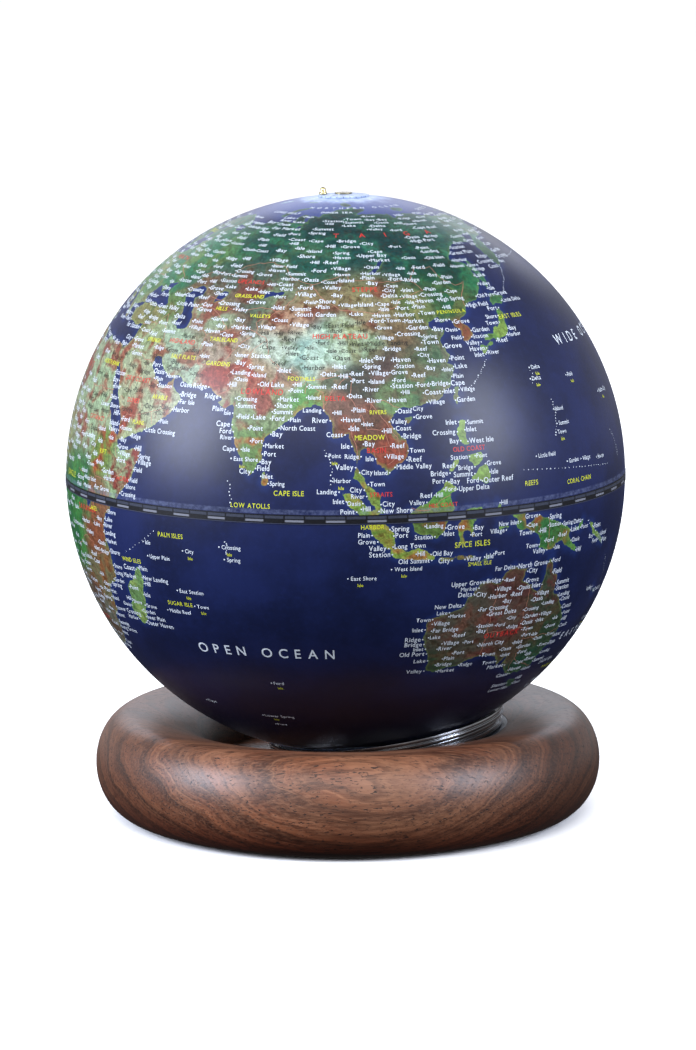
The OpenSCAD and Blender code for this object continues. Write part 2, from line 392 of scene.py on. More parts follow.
def scale_print():
    """The equator's scale: a row of grey dashes, a thinner row of dashes in turn dark and grey, and a painted
    highlight along its lower edge.
    """
    s = Shader("scale_strip_print", Specular_IOR_Level=0.3, Coat_Weight=0.15, Coat_Roughness=0.35)
    x, y, z = s.split(s.shifted(s.place, tuple(-GLOBE_C)))
    turn = s.over(s.math("ARCTAN2", x, s.times(y, -1.0)), 2 * math.pi)
    cell = s.scaled(turn, SCALE_CELLS, SCALE_CELLS)
    across = s.math("FRACT", cell)
    pair = s.math("FRACT", s.over(cell, 2.0))
    height = s.over(z, STRIP_HALF)          # -1 at the lower edge, 1 at the upper edge

    def band(value, low, high, soft):
        start = s.step(value, low - soft, low + soft)
        return s.times(start, s.step(value, high - soft, high + soft, 1.0, 0.0))

    upper = s.times(band(height, 0.16, 0.74, 0.05), band(across, 0.04, 0.96, 0.02))
    lower = s.times(band(height, -0.54, -0.1, 0.05), band(pair, 0.52, 0.98, 0.02))
    # Painted highlight: a paler line along the strip's lower edge
    edge = band(height, -0.98, -0.84, 0.05)
    wear = s.noise(s.millimetres(), 1.3, 4.0, 0.6)
    ink = s.mix(s.step(wear, 0.4, 0.8, 0.0, 0.5), "090a10", "15171f")
    ink = s.mix(s.times(upper, s.step(wear, 0.2, 0.7, 0.75, 1.0)), ink, "333846")
    ink = s.mix(s.times(lower, 0.9), ink, "757883")
    ink = s.mix(s.times(edge, 0.7), ink, "3a405a")
    s.bump(s.plus(upper, s.times(wear, 0.2)), 0.2, 0.02 * MM)
    return s.finish(Base_Color=ink, Roughness=s.step(wear, 0.3, 0.7, 0.38, 0.48))


def dial_print():
    """The hour dial: pale icy print with a tick for each hour and a ring inside the numerals."""
    s = Shader("hour_dial_print", Specular_IOR_Level=0.4)
    p = s.millimetres(GLOBE_C)
    x, y, z = s.split(p)
    radius = s.length(s.join(x, y))
    turn = s.over(s.math("ARCTAN2", x, y), 2 * math.pi)
    hour = s.math("FRACT", s.scaled(turn, float(HOURS), HOURS + 0.5))
    off_tick = s.math("ABSOLUTE", s.minus(hour, 0.5))
    tick_half = s.over(TICK_HALF * HOURS / (2 * math.pi), radius)
    tick = s.times(s.math("LESS_THAN", off_tick, tick_half), s.step(radius, TICKS_FROM, TICKS_FROM + 0.1))
    ring = s.math("LESS_THAN", s.math("ABSOLUTE", s.minus(radius, DIAL_RING)), 0.1)
    mist = s.noise(p, 0.25, 5.0, 0.6)
    ice = s.ramp(mist, (0.3, "8095bb"), (0.5, "a0b1d0"), (0.7, "c0cde0"))
    marked = s.mix(s.math("MAXIMUM", s.times(tick, 0.9), s.times(ring, 0.7)), ice, "1b2338")
    s.bump(mist, 0.15, 0.02 * MM)
    return s.finish(Base_Color=marked, Roughness=s.step(mist, 0.3, 0.7, 0.38, 0.48))


def printed(name, text, worn=0.78):
    """Printed ink with a slightly broken tone."""
    s = Shader(name, Specular_IOR_Level=0.4)
    grain = s.noise(s.millimetres(), 2.2, 3.0, 0.6)
    full = colour(text)
    faded = tuple(c * worn for c in full[:3]) + (1.0,)
    tone = s.mix(s.step(grain, 0.35, 0.7), faded, full)
    return s.finish(Base_Color=tone, Roughness=s.step(grain, 0.3, 0.7, 0.4, 0.5))


WALNUT = walnut()
POLISHED = turned_metal("collar_polished", "a2a5aa", "b9bcc0", 0.14)
# The bearing cup's dark tone is painted shade, standing for the shadow in its bore
SHADE_DARK_SATIN = turned_metal("collar_satin_painted_shade", "3d4045", "4c4f54", 0.45)
BRASS = turned_metal("brass", "b5a26c", "dccf9c", 0.16)
PALE_BRASS = turned_metal("brass_pale", "8d8465", "a89f80", 0.24)
STEEL = plain("steel", "8b9097", "b5b9be", "5d6167", 0.3)
RUBBER = plain("rubber", "1c1c1e", "29292c", "3a3a3d", 0.75, metallic=0.0, scale=1.6, depth=0.06)
PLASTIC = plain("inner_plastic", "cfcac0", "dedad2", "b8b2a6", 0.5, metallic=0.0)

# ---- Coast lines, as (longitude, latitude) in degrees ----

LANDS = {
    "asia_europe": [
        (25.8, 71.1), (31, 70.3), (33, 69.4), (37, 68.7), (41, 67.3), (40.6, 66.5), (38, 66.1), (33, 66.8),
        (34.8, 64.5), (38, 64.1), (40.5, 64.6), (40, 66), (42.5, 66.4), (44.2, 66.2), (43.5, 68.4),
        (46.5, 67.7), (49, 67.9), (53.7, 68.3), (55, 68.5), (59, 68.8), (60.6, 69.7), (64.5, 69.3),
        (67.5, 68.6), (66.8, 69.8), (67, 71.3), (69.5, 73), (72.8, 72.7), (72.6, 70.9), (73.6, 68.6),
        (71.6, 66.4), (74.1, 66.9), (74.2, 68.6), (76.6, 68.9), (74.6, 70.8), (74.8, 72.3), (78.5, 72.3),
        (81, 72), (80.4, 73.6), (86.5, 73.9), (87.5, 75), (93, 76), (98.5, 76.3), (104.3, 77.7),
        (107, 76.6), (112.5, 76.5), (113.5, 75.6), (108.5, 74), (106, 73.1), (110, 74), (113.5, 73.4),
        (118.5, 73.1), (123, 73), (126.8, 72.5), (127.5, 73.4), (129.5, 71.1), (132.5, 71.8), (137, 71.4),
        (140, 72.4), (146, 72.3), (150, 71.6), (153, 70.9), (159, 70.8), (160, 69.7), (167, 69.6),
        (170.5, 69), (171, 70), (176, 69.8), (180, 69), (184.5, 67.5), (190, 66.1), (187.5, 64.4),
        (183, 65.6), (180.8, 64.8), (177.5, 64.7), (179, 62.5), (174.5, 61.8), (170.5, 60), (166.2, 60.2),
        (163.4, 59.6), (163, 57.8), (162.6, 56.2), (161.9, 55), (160, 53.1), (158.4, 51.9), (156.7, 51),
        (155.6, 54.8), (156, 57), (158.4, 58.8), (161.8, 60.5), (163.8, 62.5), (160.3, 61.8), (156.8, 61.5),
        (154.4, 59.6), (150, 59.6), (145.5, 59.4), (141.6, 58.6), (139, 57), (135.3, 54.8), (137.6, 53.8),
        (141.2, 53), (140.5, 50.5), (140.6, 48.3), (138.5, 46.4), (135.6, 44), (132.6, 43.1), (130.7, 42.3),
        (129.8, 41), (127.6, 39.8), (127.9, 38.6), (129.3, 37.2), (129.4, 35.6), (127.5, 34.7),
        (126.3, 34.6), (126.6, 36.8), (125, 38), (125, 39.6), (123, 39.6), (121.4, 38.8), (122, 40.5),
        (119.8, 39.8), (117.8, 39), (118.9, 37.5), (120.9, 37.8), (122.6, 37.3), (120.3, 36), (119.3, 34.9),
        (120.9, 33), (121.9, 31.6), (120.5, 30.3), (121.9, 29.6), (121, 27.7), (119.7, 25.6), (118, 24.4),
        (116.5, 22.9), (114.2, 22.4), (111.8, 21.6), (110.4, 21.2), (110.1, 20.4), (109.7, 21.4),
        (108.1, 21.6), (106.6, 20.2), (105.7, 18.8), (107.2, 16.7), (108.8, 15.3), (109.3, 12.8),
        (109, 11.4), (106.9, 10.4), (105, 8.7), (104.8, 10.2), (103.1, 11), (102.4, 12.2), (100.9, 12.7),
        (100.9, 13.5), (100, 13.3), (99.7, 11.8), (99.2, 10.3), (99.4, 9.2), (100.4, 8.2), (100.8, 7),
        (102.1, 6.3), (103.4, 4.8), (103.5, 2.7), (104.2, 1.4), (103.5, 1.3), (101.3, 2.9), (100.4, 5.6),
        (99.3, 7.2), (98.3, 8), (98.7, 10.2), (98.6, 12.2), (97.8, 14.8), (97.4, 16.8), (95.3, 15.8),
        (94.3, 16), (94.4, 18.3), (92.4, 20.8), (91.9, 22.5), (90.5, 22.4), (89, 21.7), (87, 21.4),
        (86.5, 20), (85, 19.3), (82.3, 16.9), (80.3, 15.6), (80.2, 13.2), (79.9, 11.4), (79.2, 10.2),
        (78.2, 8.9), (77.5, 8.1), (76.3, 9.8), (75, 12.3), (74, 15), (73, 18), (72.8, 20.5), (72.4, 21.8),
        (70.9, 20.8), (69, 22.2), (70.3, 22.9), (68.2, 23.7), (66.7, 25), (64.5, 25.3), (61.5, 25.1),
        (58.8, 25.6), (57.1, 27), (54.8, 26.6), (52.5, 27.5), (50.9, 28.9), (50, 30.1), (48.4, 30.1),
        (48, 29.3), (48.7, 28), (50.1, 26.7), (50.3, 25.6), (50.9, 24.8), (51.3, 26.1), (51.7, 24.9),
        (52.2, 24.1), (54.2, 24.2), (56.2, 26.2), (56.6, 24.6), (58.7, 23.6), (59.8, 22.4), (58, 20.4),
        (57.7, 19), (55.2, 17.6), (52.3, 15.8), (49.3, 14.6), (45, 12.8), (43.5, 12.7), (42.8, 15.2),
        (42.5, 16.8), (40.8, 19.6), (39.1, 21.4), (38.2, 23.8), (36.6, 26), (35.1, 28.1), (34.9, 29.5),
        (34.3, 27.8), (32.6, 29.9), (32.5, 31.2), (34.2, 31.3), (35, 32.8), (35.9, 35), (36.1, 36.7),
        (34, 36.2), (32.5, 36.1), (30.6, 36.8), (28.2, 36.7), (26.4, 38.2), (26.3, 39.6), (28.9, 40.5),
        (29.1, 41.2), (31.5, 41.3), (35, 42), (38.5, 41), (41.5, 41.6), (39.3, 43.8), (37.3, 45),
        (38.3, 46.8), (39.2, 47.2), (35.3, 46.4), (36.4, 45.3), (33.8, 44.4), (32.6, 45.5), (31, 46.6),
        (29.8, 45.3), (28.6, 43.7), (27.9, 42.5), (29, 41.3), (26.1, 40.7), (23.8, 40.3), (22.7, 40.4),
        (23, 39), (24, 37.8), (23, 36.5), (21.7, 36.9), (20.8, 38.6), (19.4, 40.5), (19.5, 41.8),
        (16, 43.5), (13.8, 45), (12.4, 45.3), (12.6, 44), (14.2, 42.3), (16, 41.8), (18.4, 40.2),
        (17, 40.4), (16.6, 39.7), (16.1, 38), (15.7, 38.2), (15.7, 40), (13.5, 41.2), (11, 42.5),
        (10.2, 43.9), (8.8, 44.4), (7.5, 43.8), (4.8, 43.4), (3.1, 43), (3.2, 42), (0.3, 40.3), (-0.2, 39),
        (-0.7, 37.7), (-2.2, 36.7), (-5.4, 36.1), (-6.4, 36.8), (-8.9, 37), (-9.5, 38.8), (-8.8, 41.5),
        (-9.2, 43.1), (-3.8, 43.5), (-1.5, 43.5), (-1.2, 45.8), (-4.5, 47.9), (-4.7, 48.5), (-1.5, 48.7),
        (-1.8, 49.7), (0.2, 49.6), (1.7, 50.9), (3.6, 51.4), (4.8, 53), (8.2, 53.6), (8.4, 55.5), (8.2, 57),
        (10.6, 57.6), (10.3, 56), (9.8, 55), (11, 54.1), (14.2, 54), (18.6, 54.6), (21, 55), (21.4, 57),
        (24.3, 57.3), (23.6, 59.1), (28, 59.6), (29.8, 60), (27.5, 60.5), (23, 59.9), (21.3, 61), (22, 63),
        (25.4, 65), (22.2, 65.8), (20.8, 64), (17.5, 62), (17.2, 60.7), (18.9, 59.9), (16.6, 58),
        (16, 56.4), (14.2, 55.5), (12.9, 55.6), (11.3, 58.9), (10.6, 59.4), (8.2, 58.1), (5.6, 58.8),
        (5, 61), (7, 63), (10, 64), (13, 66), (15, 68.2), (19, 69.7)],
    "africa": [
        (32.5, 31.2), (30.2, 31.5), (25, 31.6), (21.5, 32.8), (20, 31), (19, 30.3), (15.3, 32.3),
        (11, 33.5), (10.2, 34.5), (11, 37), (9.7, 37.3), (5, 36.8), (0, 35.9), (-2.2, 35.1), (-5.3, 35.8),
        (-6.4, 34.6), (-9.6, 31.4), (-10, 29.6), (-13, 27.8), (-15.8, 24), (-17, 21), (-16.4, 19),
        (-16.5, 16.4), (-17.5, 14.7), (-16.7, 12.4), (-13.3, 9), (-11.5, 6.9), (-7.6, 4.4), (-4, 5.2),
        (-2, 4.8), (1, 6), (4.4, 6.3), (6, 4.3), (8.5, 4.6), (9.6, 3.8), (9.6, 1), (8.8, -0.7),
        (11.8, -4.5), (13.2, -8.5), (13.8, -11), (12.3, -15), (11.8, -18), (14.4, -22.5), (15, -26.5),
        (16.8, -29.2), (18.3, -32.5), (18.4, -34.2), (20, -34.8), (25.7, -34), (28.5, -32.8), (31.2, -30),
        (32.8, -27.5), (32.8, -25.5), (35.5, -24), (35.2, -21), (36.3, -18.8), (40.5, -15.5), (40.6, -11),
        (39.3, -8), (38.8, -6), (40.2, -2.7), (42.5, -0.6), (46, 2.5), (48.2, 4.8), (50, 8.2), (51.2, 11.9),
        (48.5, 11.3), (44.5, 10.4), (43.2, 11.6), (42.5, 13.2), (39.5, 15.3), (37.3, 19), (37.2, 21),
        (35.5, 24), (33.6, 27.8), (32.6, 29.9)],
    "madagascar": [
        (49.3, -12), (50.4, -15.6), (49.5, -17.5), (48.5, -21), (47, -25), (45.2, -25.5), (43.5, -23.4),
        (43.4, -21.6), (44.4, -20), (44.2, -17), (45.8, -15.9), (47.5, -14.8), (48.3, -13.6)],
    "ceylon": [(80, 9.7), (81.3, 8.5), (81.8, 7.2), (80.6, 6), (79.9, 7)],
    "sumatra": [
        (95.3, 5.6), (97.5, 5.2), (100.3, 2.9), (103.2, 0.6), (104.4, -1.1), (106, -3), (105.8, -5.8),
        (104.6, -5.8), (102.3, -4), (100.4, -1), (98.7, 1.7), (97, 3.3)],
    "java": [
        (105.2, -6.8), (106.1, -5.9), (108.6, -6.7), (110.9, -6.4), (112.7, -7), (114.5, -7.8),
        (114.4, -8.7), (111, -8.3), (108, -7.8), (106.4, -7.4)],
    "flores": [
        (115.4, -8.2), (118, -8.2), (120.5, -8.3), (122.9, -8.2), (122.6, -8.9), (119, -8.9),
        (115.6, -8.9)],
    "timor": [(123.5, -10.4), (125.2, -8.7), (127.2, -8.3), (125.4, -9.7)],
    "borneo": [
        (109, 1.5), (109.2, -0.6), (110.2, -2.9), (113, -3.2), (114.6, -4.1), (116.2, -3.2), (116.6, -1.4),
        (117.6, 0.8), (119, 1), (117.9, 2.3), (117.6, 4.2), (119.2, 5.3), (116.8, 7), (115.3, 5.4),
        (113, 3.1), (111.2, 2.5), (110.3, 1.7)],
    "celebes": [
        (125, 1.6), (123, 0.9), (120.9, 1.3), (119.8, 0), (119.3, -1.2), (118.8, -2.8), (119.5, -5.5),
        (120.4, -5.6), (120.4, -3.2), (121.2, -2.8), (122.2, -5), (122.8, -4.3), (122, -1.8), (123.4, -1),
        (121, -0.9), (120.2, -0.5), (120.5, 0.4), (123.3, 0.3)],
    "luzon": [
        (120.6, 18.5), (122.2, 18.4), (121.5, 16), (122, 14.2), (124.1, 12.6), (123.2, 13), (121.5, 13.6),
        (120.3, 14.6), (119.9, 16.3)],
    "mindanao": [(122, 7), (123.6, 8.6), (125.5, 9.7), (126.5, 7.5), (125.6, 5.8), (124, 6.6)],
    "visayas": [
        (121.9, 11.8), (123.5, 11.9), (125.2, 12.4), (125.2, 10.4), (124, 9.9), (123, 9.2), (122.2, 10.5)],
    "palawan": [(117.2, 8.5), (119.4, 11.3), (119.8, 10.6), (117.9, 8.2)],
    "taiwan": [(121.1, 25.2), (122, 25), (120.9, 22), (120.1, 23.1)],
    "hainan": [(108.7, 19.4), (110.5, 20.1), (111, 19.6), (109.6, 18.2)],
    "honshu": [
        (130.9, 34), (132.8, 35.5), (135.8, 35.6), (137.2, 37.4), (137.5, 36.9), (139.4, 38.2), (140, 40.3),
        (141.4, 41.4), (142, 39.6), (141, 38.2), (140.8, 35.7), (139.8, 35), (138.7, 34.8), (136.9, 34.4),
        (135.8, 33.5), (135.1, 34.5), (133, 34.3), (131.3, 33.9)],
    "kyushu": [(129.8, 33.3), (131, 33.9), (131.9, 33), (131.3, 31.4), (130.3, 31.2), (130, 32.4)],
    "shikoku": [(132.4, 33.5), (134.5, 34.2), (134.2, 33.3), (133, 32.8)],
    "hokkaido": [
        (140, 41.5), (140.4, 43.3), (141.7, 45.4), (143.2, 44.4), (145.4, 43.6), (143.3, 42),
        (141.4, 42.6)],
    "sakhalin": [
        (142, 46), (142.2, 49), (141.9, 52), (142.7, 54.4), (143.4, 52.5), (143.9, 49.2), (143, 46.7)],
    "new_guinea": [
        (131, -0.8), (134, -0.8), (135, -3.3), (138, -1.6), (141, -2.6), (145, -4.3), (147.8, -6),
        (147.2, -7), (150.7, -10.5), (147.2, -9.5), (145, -7.7), (143, -8.2), (143, -9.2), (141, -9.1),
        (138.3, -8.4), (138.8, -7), (137.8, -5.2), (133.7, -4), (132.3, -2.9), (133.7, -2.3),
        (131.9, -1.6)],
    "new_britain": [(148.4, -5.7), (150.4, -5.5), (152.2, -4.2), (151.8, -5.7), (149.9, -6.4)],
    "solomons": [(154.8, -5.2), (157.5, -7.2), (160.8, -8.8), (162, -10.6), (160, -9.8), (156.6, -7.9)],
    "new_caledonia": [(164, -20.2), (166.9, -22.3), (165.5, -21.9)],
    "halmahera": [(127.7, 2), (128.8, 1.5), (128.2, -0.8), (127.6, 0.4)],
    "seram": [(128, -2.9), (130.8, -3), (130.6, -3.9), (128.2, -3.6)],
    "australia": [
        (113.7, -22.6), (114.2, -21.8), (116.8, -20.6), (119, -20), (121.3, -19.3), (122.2, -17.3),
        (123.5, -17.3), (123.7, -16.2), (125.2, -14.6), (126.9, -13.8), (128.2, -14.9), (129.6, -14.9),
        (130.7, -12.6), (132.6, -11.4), (135, -12.1), (136.8, -12.2), (136, -13.4), (135.5, -14.8),
        (137.5, -16), (139.3, -17.4), (140.9, -17.5), (141.7, -15), (141.6, -12.8), (142.5, -10.8),
        (143.5, -13), (143.8, -14.4), (145.3, -15), (146.2, -18.8), (148.5, -20.2), (150.8, -23),
        (153.1, -25.5), (153.5, -28.5), (152.5, -32.3), (150.8, -34.8), (149.9, -37.4), (147.5, -38),
        (146.3, -39), (144.7, -38.3), (143.5, -38.8), (140.6, -38), (138.9, -35.6), (138.1, -34.2),
        (137.6, -35.2), (137.8, -32.9), (135.7, -34.9), (134.2, -32.8), (131.2, -31.5), (128.9, -31.7),
        (125.5, -32.4), (123.7, -33.9), (120, -33.9), (118, -35), (115.1, -34.3), (115.7, -32),
        (114.6, -28.8), (113.4, -26.2), (113.6, -24)],
    "tasmania": [(144.7, -40.8), (148.2, -40.9), (148, -43), (146.5, -43.6), (145.4, -42.4)],
    "north_island": [
        (172.8, -34.5), (174.6, -36.3), (175.8, -36.8), (178.3, -37.7), (177, -39.3), (175.3, -41.6),
        (174.7, -41), (173.8, -39.3), (174.8, -37.9)],
    "south_island": [
        (172.7, -40.6), (174.2, -41.4), (172.8, -43.6), (170.7, -45.8), (168.6, -46.6), (166.6, -45.9),
        (168.2, -44), (171.2, -42.2)],
    "britain": [
        (-5.5, 50.1), (-4.2, 52.6), (-3, 53.6), (-4.9, 55), (-6, 57.4), (-4, 58.6), (-2, 57.5), (-2.4, 56),
        (-1.2, 54.5), (0.3, 53), (1.7, 52.6), (1.3, 51.2), (-1.5, 50.7)],
    "ireland": [(-10, 52), (-9.8, 54.2), (-7.5, 55.3), (-5.7, 54.5), (-6.3, 52.2)],
    "iceland": [(-22.5, 64), (-24, 65.6), (-22.3, 66.3), (-16.2, 66.5), (-13.6, 65.1), (-18.5, 63.4)],
    "svalbard": [(11.5, 79.3), (16, 80), (25, 80), (21.5, 78.3), (16.8, 76.7), (13.7, 78)],
    "novaya_zemlya": [
        (51.5, 71.5), (55, 73.4), (59, 75.8), (68.3, 76.8), (66, 76), (58, 73.5), (57.3, 70.7)],
    "severnaya_zemlya": [(95.5, 79), (93, 80), (97, 80.9), (103, 79.3), (104.5, 78.6), (99.5, 78)],
    "franz_josef": [(47, 80.3), (58, 81.6), (63, 80.8), (54, 80)],
    "new_siberian": [(138, 75.6), (143, 76), (150, 75.2), (142, 73.8), (138.5, 74.7)],
    "wrangel": [(178.8, 71.1), (181.5, 71.5), (182, 71)],
    "greenland": [
        (-45, 60), (-48.5, 61.5), (-51.5, 64.5), (-53.5, 67.5), (-51, 69.5), (-54.5, 71), (-58, 75),
        (-66, 76), (-71.5, 77.5), (-67, 79.5), (-60, 82), (-45, 82.6), (-32, 83.6), (-20, 82), (-18, 79.5),
        (-20, 76), (-22, 73), (-24, 70.8), (-32, 68), (-40, 65), (-42, 62)],
    "north_america": [
        (-168, 65.6), (-162, 66.3), (-166.5, 68.3), (-156.5, 71.3), (-148, 70.4), (-141, 69.7),
        (-134, 69.5), (-128, 70.4), (-125, 69.6), (-115, 68), (-108, 68), (-101, 67.8), (-96, 68.2),
        (-94.5, 71.9), (-90, 69), (-87, 67.5), (-82, 69.6), (-81.5, 67.5), (-86.5, 66), (-87.5, 64.3),
        (-93, 62), (-94.7, 58.8), (-92.5, 57), (-87.5, 56), (-82.3, 55.1), (-81, 52.2), (-79.5, 51.4),
        (-79, 54.5), (-76.6, 57), (-78.5, 58.9), (-77.5, 62.4), (-73.7, 62.4), (-69.7, 60.9), (-69.5, 58.9),
        (-65, 60), (-61.5, 57), (-57.3, 54.6), (-55.8, 52.3), (-60, 50.2), (-66.5, 50.2), (-70.5, 47),
        (-65, 49.2), (-64.3, 47.6), (-61, 45.5), (-65.5, 43.5), (-66, 45.2), (-70.2, 43.6), (-70.7, 41.8),
        (-74, 40.6), (-75.5, 38), (-76, 36.8), (-75.6, 35.2), (-78.5, 33.8), (-81.2, 31.5), (-80.1, 26.5),
        (-81.1, 25.2), (-82.7, 28), (-84, 30), (-89.4, 30.2), (-90, 29.1), (-94.5, 29.4), (-97.2, 27.5),
        (-97.8, 22.5), (-96, 19), (-94.4, 18.2), (-91, 18.8), (-90.4, 21.1), (-87, 21.5), (-88.2, 18),
        (-88.7, 15.8), (-83.3, 15), (-83.7, 11), (-81.5, 8.9), (-79.5, 9.5), (-77.3, 8.5), (-78, 7.5),
        (-80.3, 7.4), (-83, 8.3), (-85.7, 10.2), (-87.6, 13), (-92.2, 14.5), (-94.7, 16.2), (-99.8, 16.8),
        (-105.5, 20), (-105.5, 22), (-109.4, 25.7), (-112.5, 29.8), (-114.7, 31.6), (-112.8, 28),
        (-109.5, 23.1), (-112.2, 25), (-115, 28), (-117.2, 32.6), (-120.6, 34.5), (-123.8, 39),
        (-124.2, 43), (-124.6, 48.3), (-122.8, 49), (-127.5, 51), (-130.3, 54.5), (-134, 58),
        (-139.5, 59.7), (-146, 60.8), (-151.8, 59.3), (-154, 58.2), (-158.5, 56), (-164.8, 54.6),
        (-160, 56.3), (-157.3, 58.7), (-162, 59), (-165.5, 61.8), (-164.5, 63.2), (-161, 64.5),
        (-166.3, 64.5)],
    "baffin": [
        (-64.5, 62), (-71, 62.9), (-73, 65), (-73, 68), (-84.5, 70), (-89.5, 72), (-86, 73.7), (-77, 72.8),
        (-68, 70.3), (-61.5, 66.7), (-67, 64)],
    "victoria": [(-117, 69.5), (-105, 69), (-102, 70.5), (-105, 72.5), (-114, 73), (-119, 71.5)],
    "banks": [(-125.5, 72), (-122, 74.3), (-116, 73), (-123.3, 71.2)],
    "ellesmere": [(-90, 76.5), (-80, 76.2), (-75, 78.5), (-62, 82.4), (-75, 83.1), (-92, 81)],
    "newfoundland": [(-59.3, 47.8), (-56, 51.6), (-53, 47.5), (-55.8, 46.9)],
    "cuba": [(-84.9, 21.9), (-82, 23.2), (-77, 21.6), (-74.2, 20.2), (-77.7, 19.9), (-78.3, 21.2)],
    "hispaniola": [(-74.4, 18.4), (-73, 19.9), (-69.9, 19.8), (-68.4, 18.6), (-71.5, 17.8)],
    "south_america": [
        (-77.3, 8.6), (-75.5, 10.8), (-71.8, 12.3), (-71.3, 11), (-68.2, 10.7), (-62, 10.7), (-60, 8.5),
        (-57, 6), (-51.8, 4.5), (-50, 1), (-48.5, -0.8), (-44.3, -2.5), (-39, -3.2), (-35.3, -5.3),
        (-34.8, -8), (-37.5, -12), (-39, -15), (-39.5, -19), (-41, -22), (-44.5, -23.2), (-48.5, -26),
        (-50, -30), (-53.5, -34), (-58, -34.3), (-57, -36.5), (-58, -38.2), (-62.2, -39), (-65, -41),
        (-65, -43.5), (-67.5, -46), (-65.8, -47.8), (-69, -51), (-68.3, -53), (-65.2, -54.8),
        (-68.5, -55.5), (-72.5, -53.8), (-75.3, -50), (-74.5, -46), (-73.5, -41.8), (-73.6, -37.2),
        (-71.5, -32.5), (-70.3, -27), (-70.2, -20), (-71.5, -17.5), (-76.2, -14), (-79, -8.5), (-81.2, -5),
        (-80.2, -3), (-80.9, -1), (-79.5, 1.2), (-77.3, 3.9), (-77.9, 7)],
    "antarctica": [
        (-180, -78), (-160, -77.5), (-150, -76), (-135, -74), (-120, -74), (-100, -73), (-80, -73),
        (-72, -73), (-67, -68), (-63, -65), (-57, -63.3), (-60, -66), (-62, -70), (-60, -74), (-50, -78),
        (-35, -78), (-25, -75), (-10, -71), (0, -70), (20, -70), (35, -69), (50, -67), (60, -67.5),
        (70, -69), (75, -70), (80, -68), (95, -66.5), (110, -66), (125, -66.5), (140, -66.7), (150, -68.5),
        (160, -70), (170, -72), (165, -77), (180, -78), (180, -91), (-180, -91)],
}

WATERS = {
    "caspian": [
        (47.3, 44.6), (49, 46.5), (51.2, 47), (53, 46.7), (53, 45.2), (51, 44.5), (50.4, 44.2), (51.5, 43),
        (52.6, 42.3), (52.9, 41), (53.9, 38.9), (53.9, 37), (51.5, 36.6), (49.2, 37.6), (48.9, 38.5),
        (49.5, 40.4), (48.2, 42), (47.3, 43.4)],
    "aral": [(58.5, 45.5), (60, 46.5), (61.5, 46.2), (60.8, 44.3), (58.6, 43.7)],
    "baikal": [(103.8, 51.5), (105.8, 51.9), (108.5, 53.2), (110, 55.6), (109, 55.7), (106.3, 53.1)],
    "balkhash": [(73.7, 45.4), (74.2, 46.8), (79, 46.8), (79, 46.1), (75, 45.9)],
    "nyanza": [(31.8, -1), (33, 0.4), (34.3, -0.4), (33.7, -2.3), (32, -2.6)],
    "superior": [(-92, 46.8), (-88, 48.8), (-84.6, 46.8), (-87.5, 46.5)],
    "michigan": [(-87.5, 41.7), (-87.7, 44.5), (-85.5, 45.9), (-86.5, 43)],
    "huron": [(-84, 46), (-80.5, 45.8), (-81.7, 43.3), (-83.4, 44.5)],
    "bear": [(-124, 66), (-119, 66.8), (-118, 65.5), (-123, 65)],
    "slave": [(-117, 61), (-110, 62.8), (-112, 61.4)],
}

# ---- The printed map ----

FRONT_LON = 96.7                            # longitude that faces azimuth 0
POLE_HOLE = 1.6 * MM
SHELL_WALL = 1.8 * MM
SEAM_STEP = 0.4 * MM                        # depth of the seat for the scale strip
LAND_TONE = (0.7, 0.74, 0.85)               # turns all the land colours a little cooler
COAST_REACH = 6.0                           # degrees beyond which the coast distance isn't worked out
SEEN_COAST = -1.5                           # the noise of the shader can carry land this far out to sea
THIN_RINGS = (60, 78)                       # past these a ring has half, then a quarter of the points
INNER_RINGS = 32
BATCH = 4000000                             # pairs of point and side that are worked out at a time
NARROWEST = 0.15                            # least length of a degree of longitude in the search
COLOUR_FALL = 2.6                           # how steeply a land colour fades with distance
COLOUR_FAINT = 1e-6                         # weight of the colours that are out of reach
TINY = 1e-9                                 # these two keep divisions away from zero
TINIER = 1e-12
RELIEF = (0.42, 6.0, 0.7, 0.4)              # noise of the hills
RELIEF_LIGHT = (0.45, -0.3, 0.45)           # how far its copy is shifted to shade it, in mm

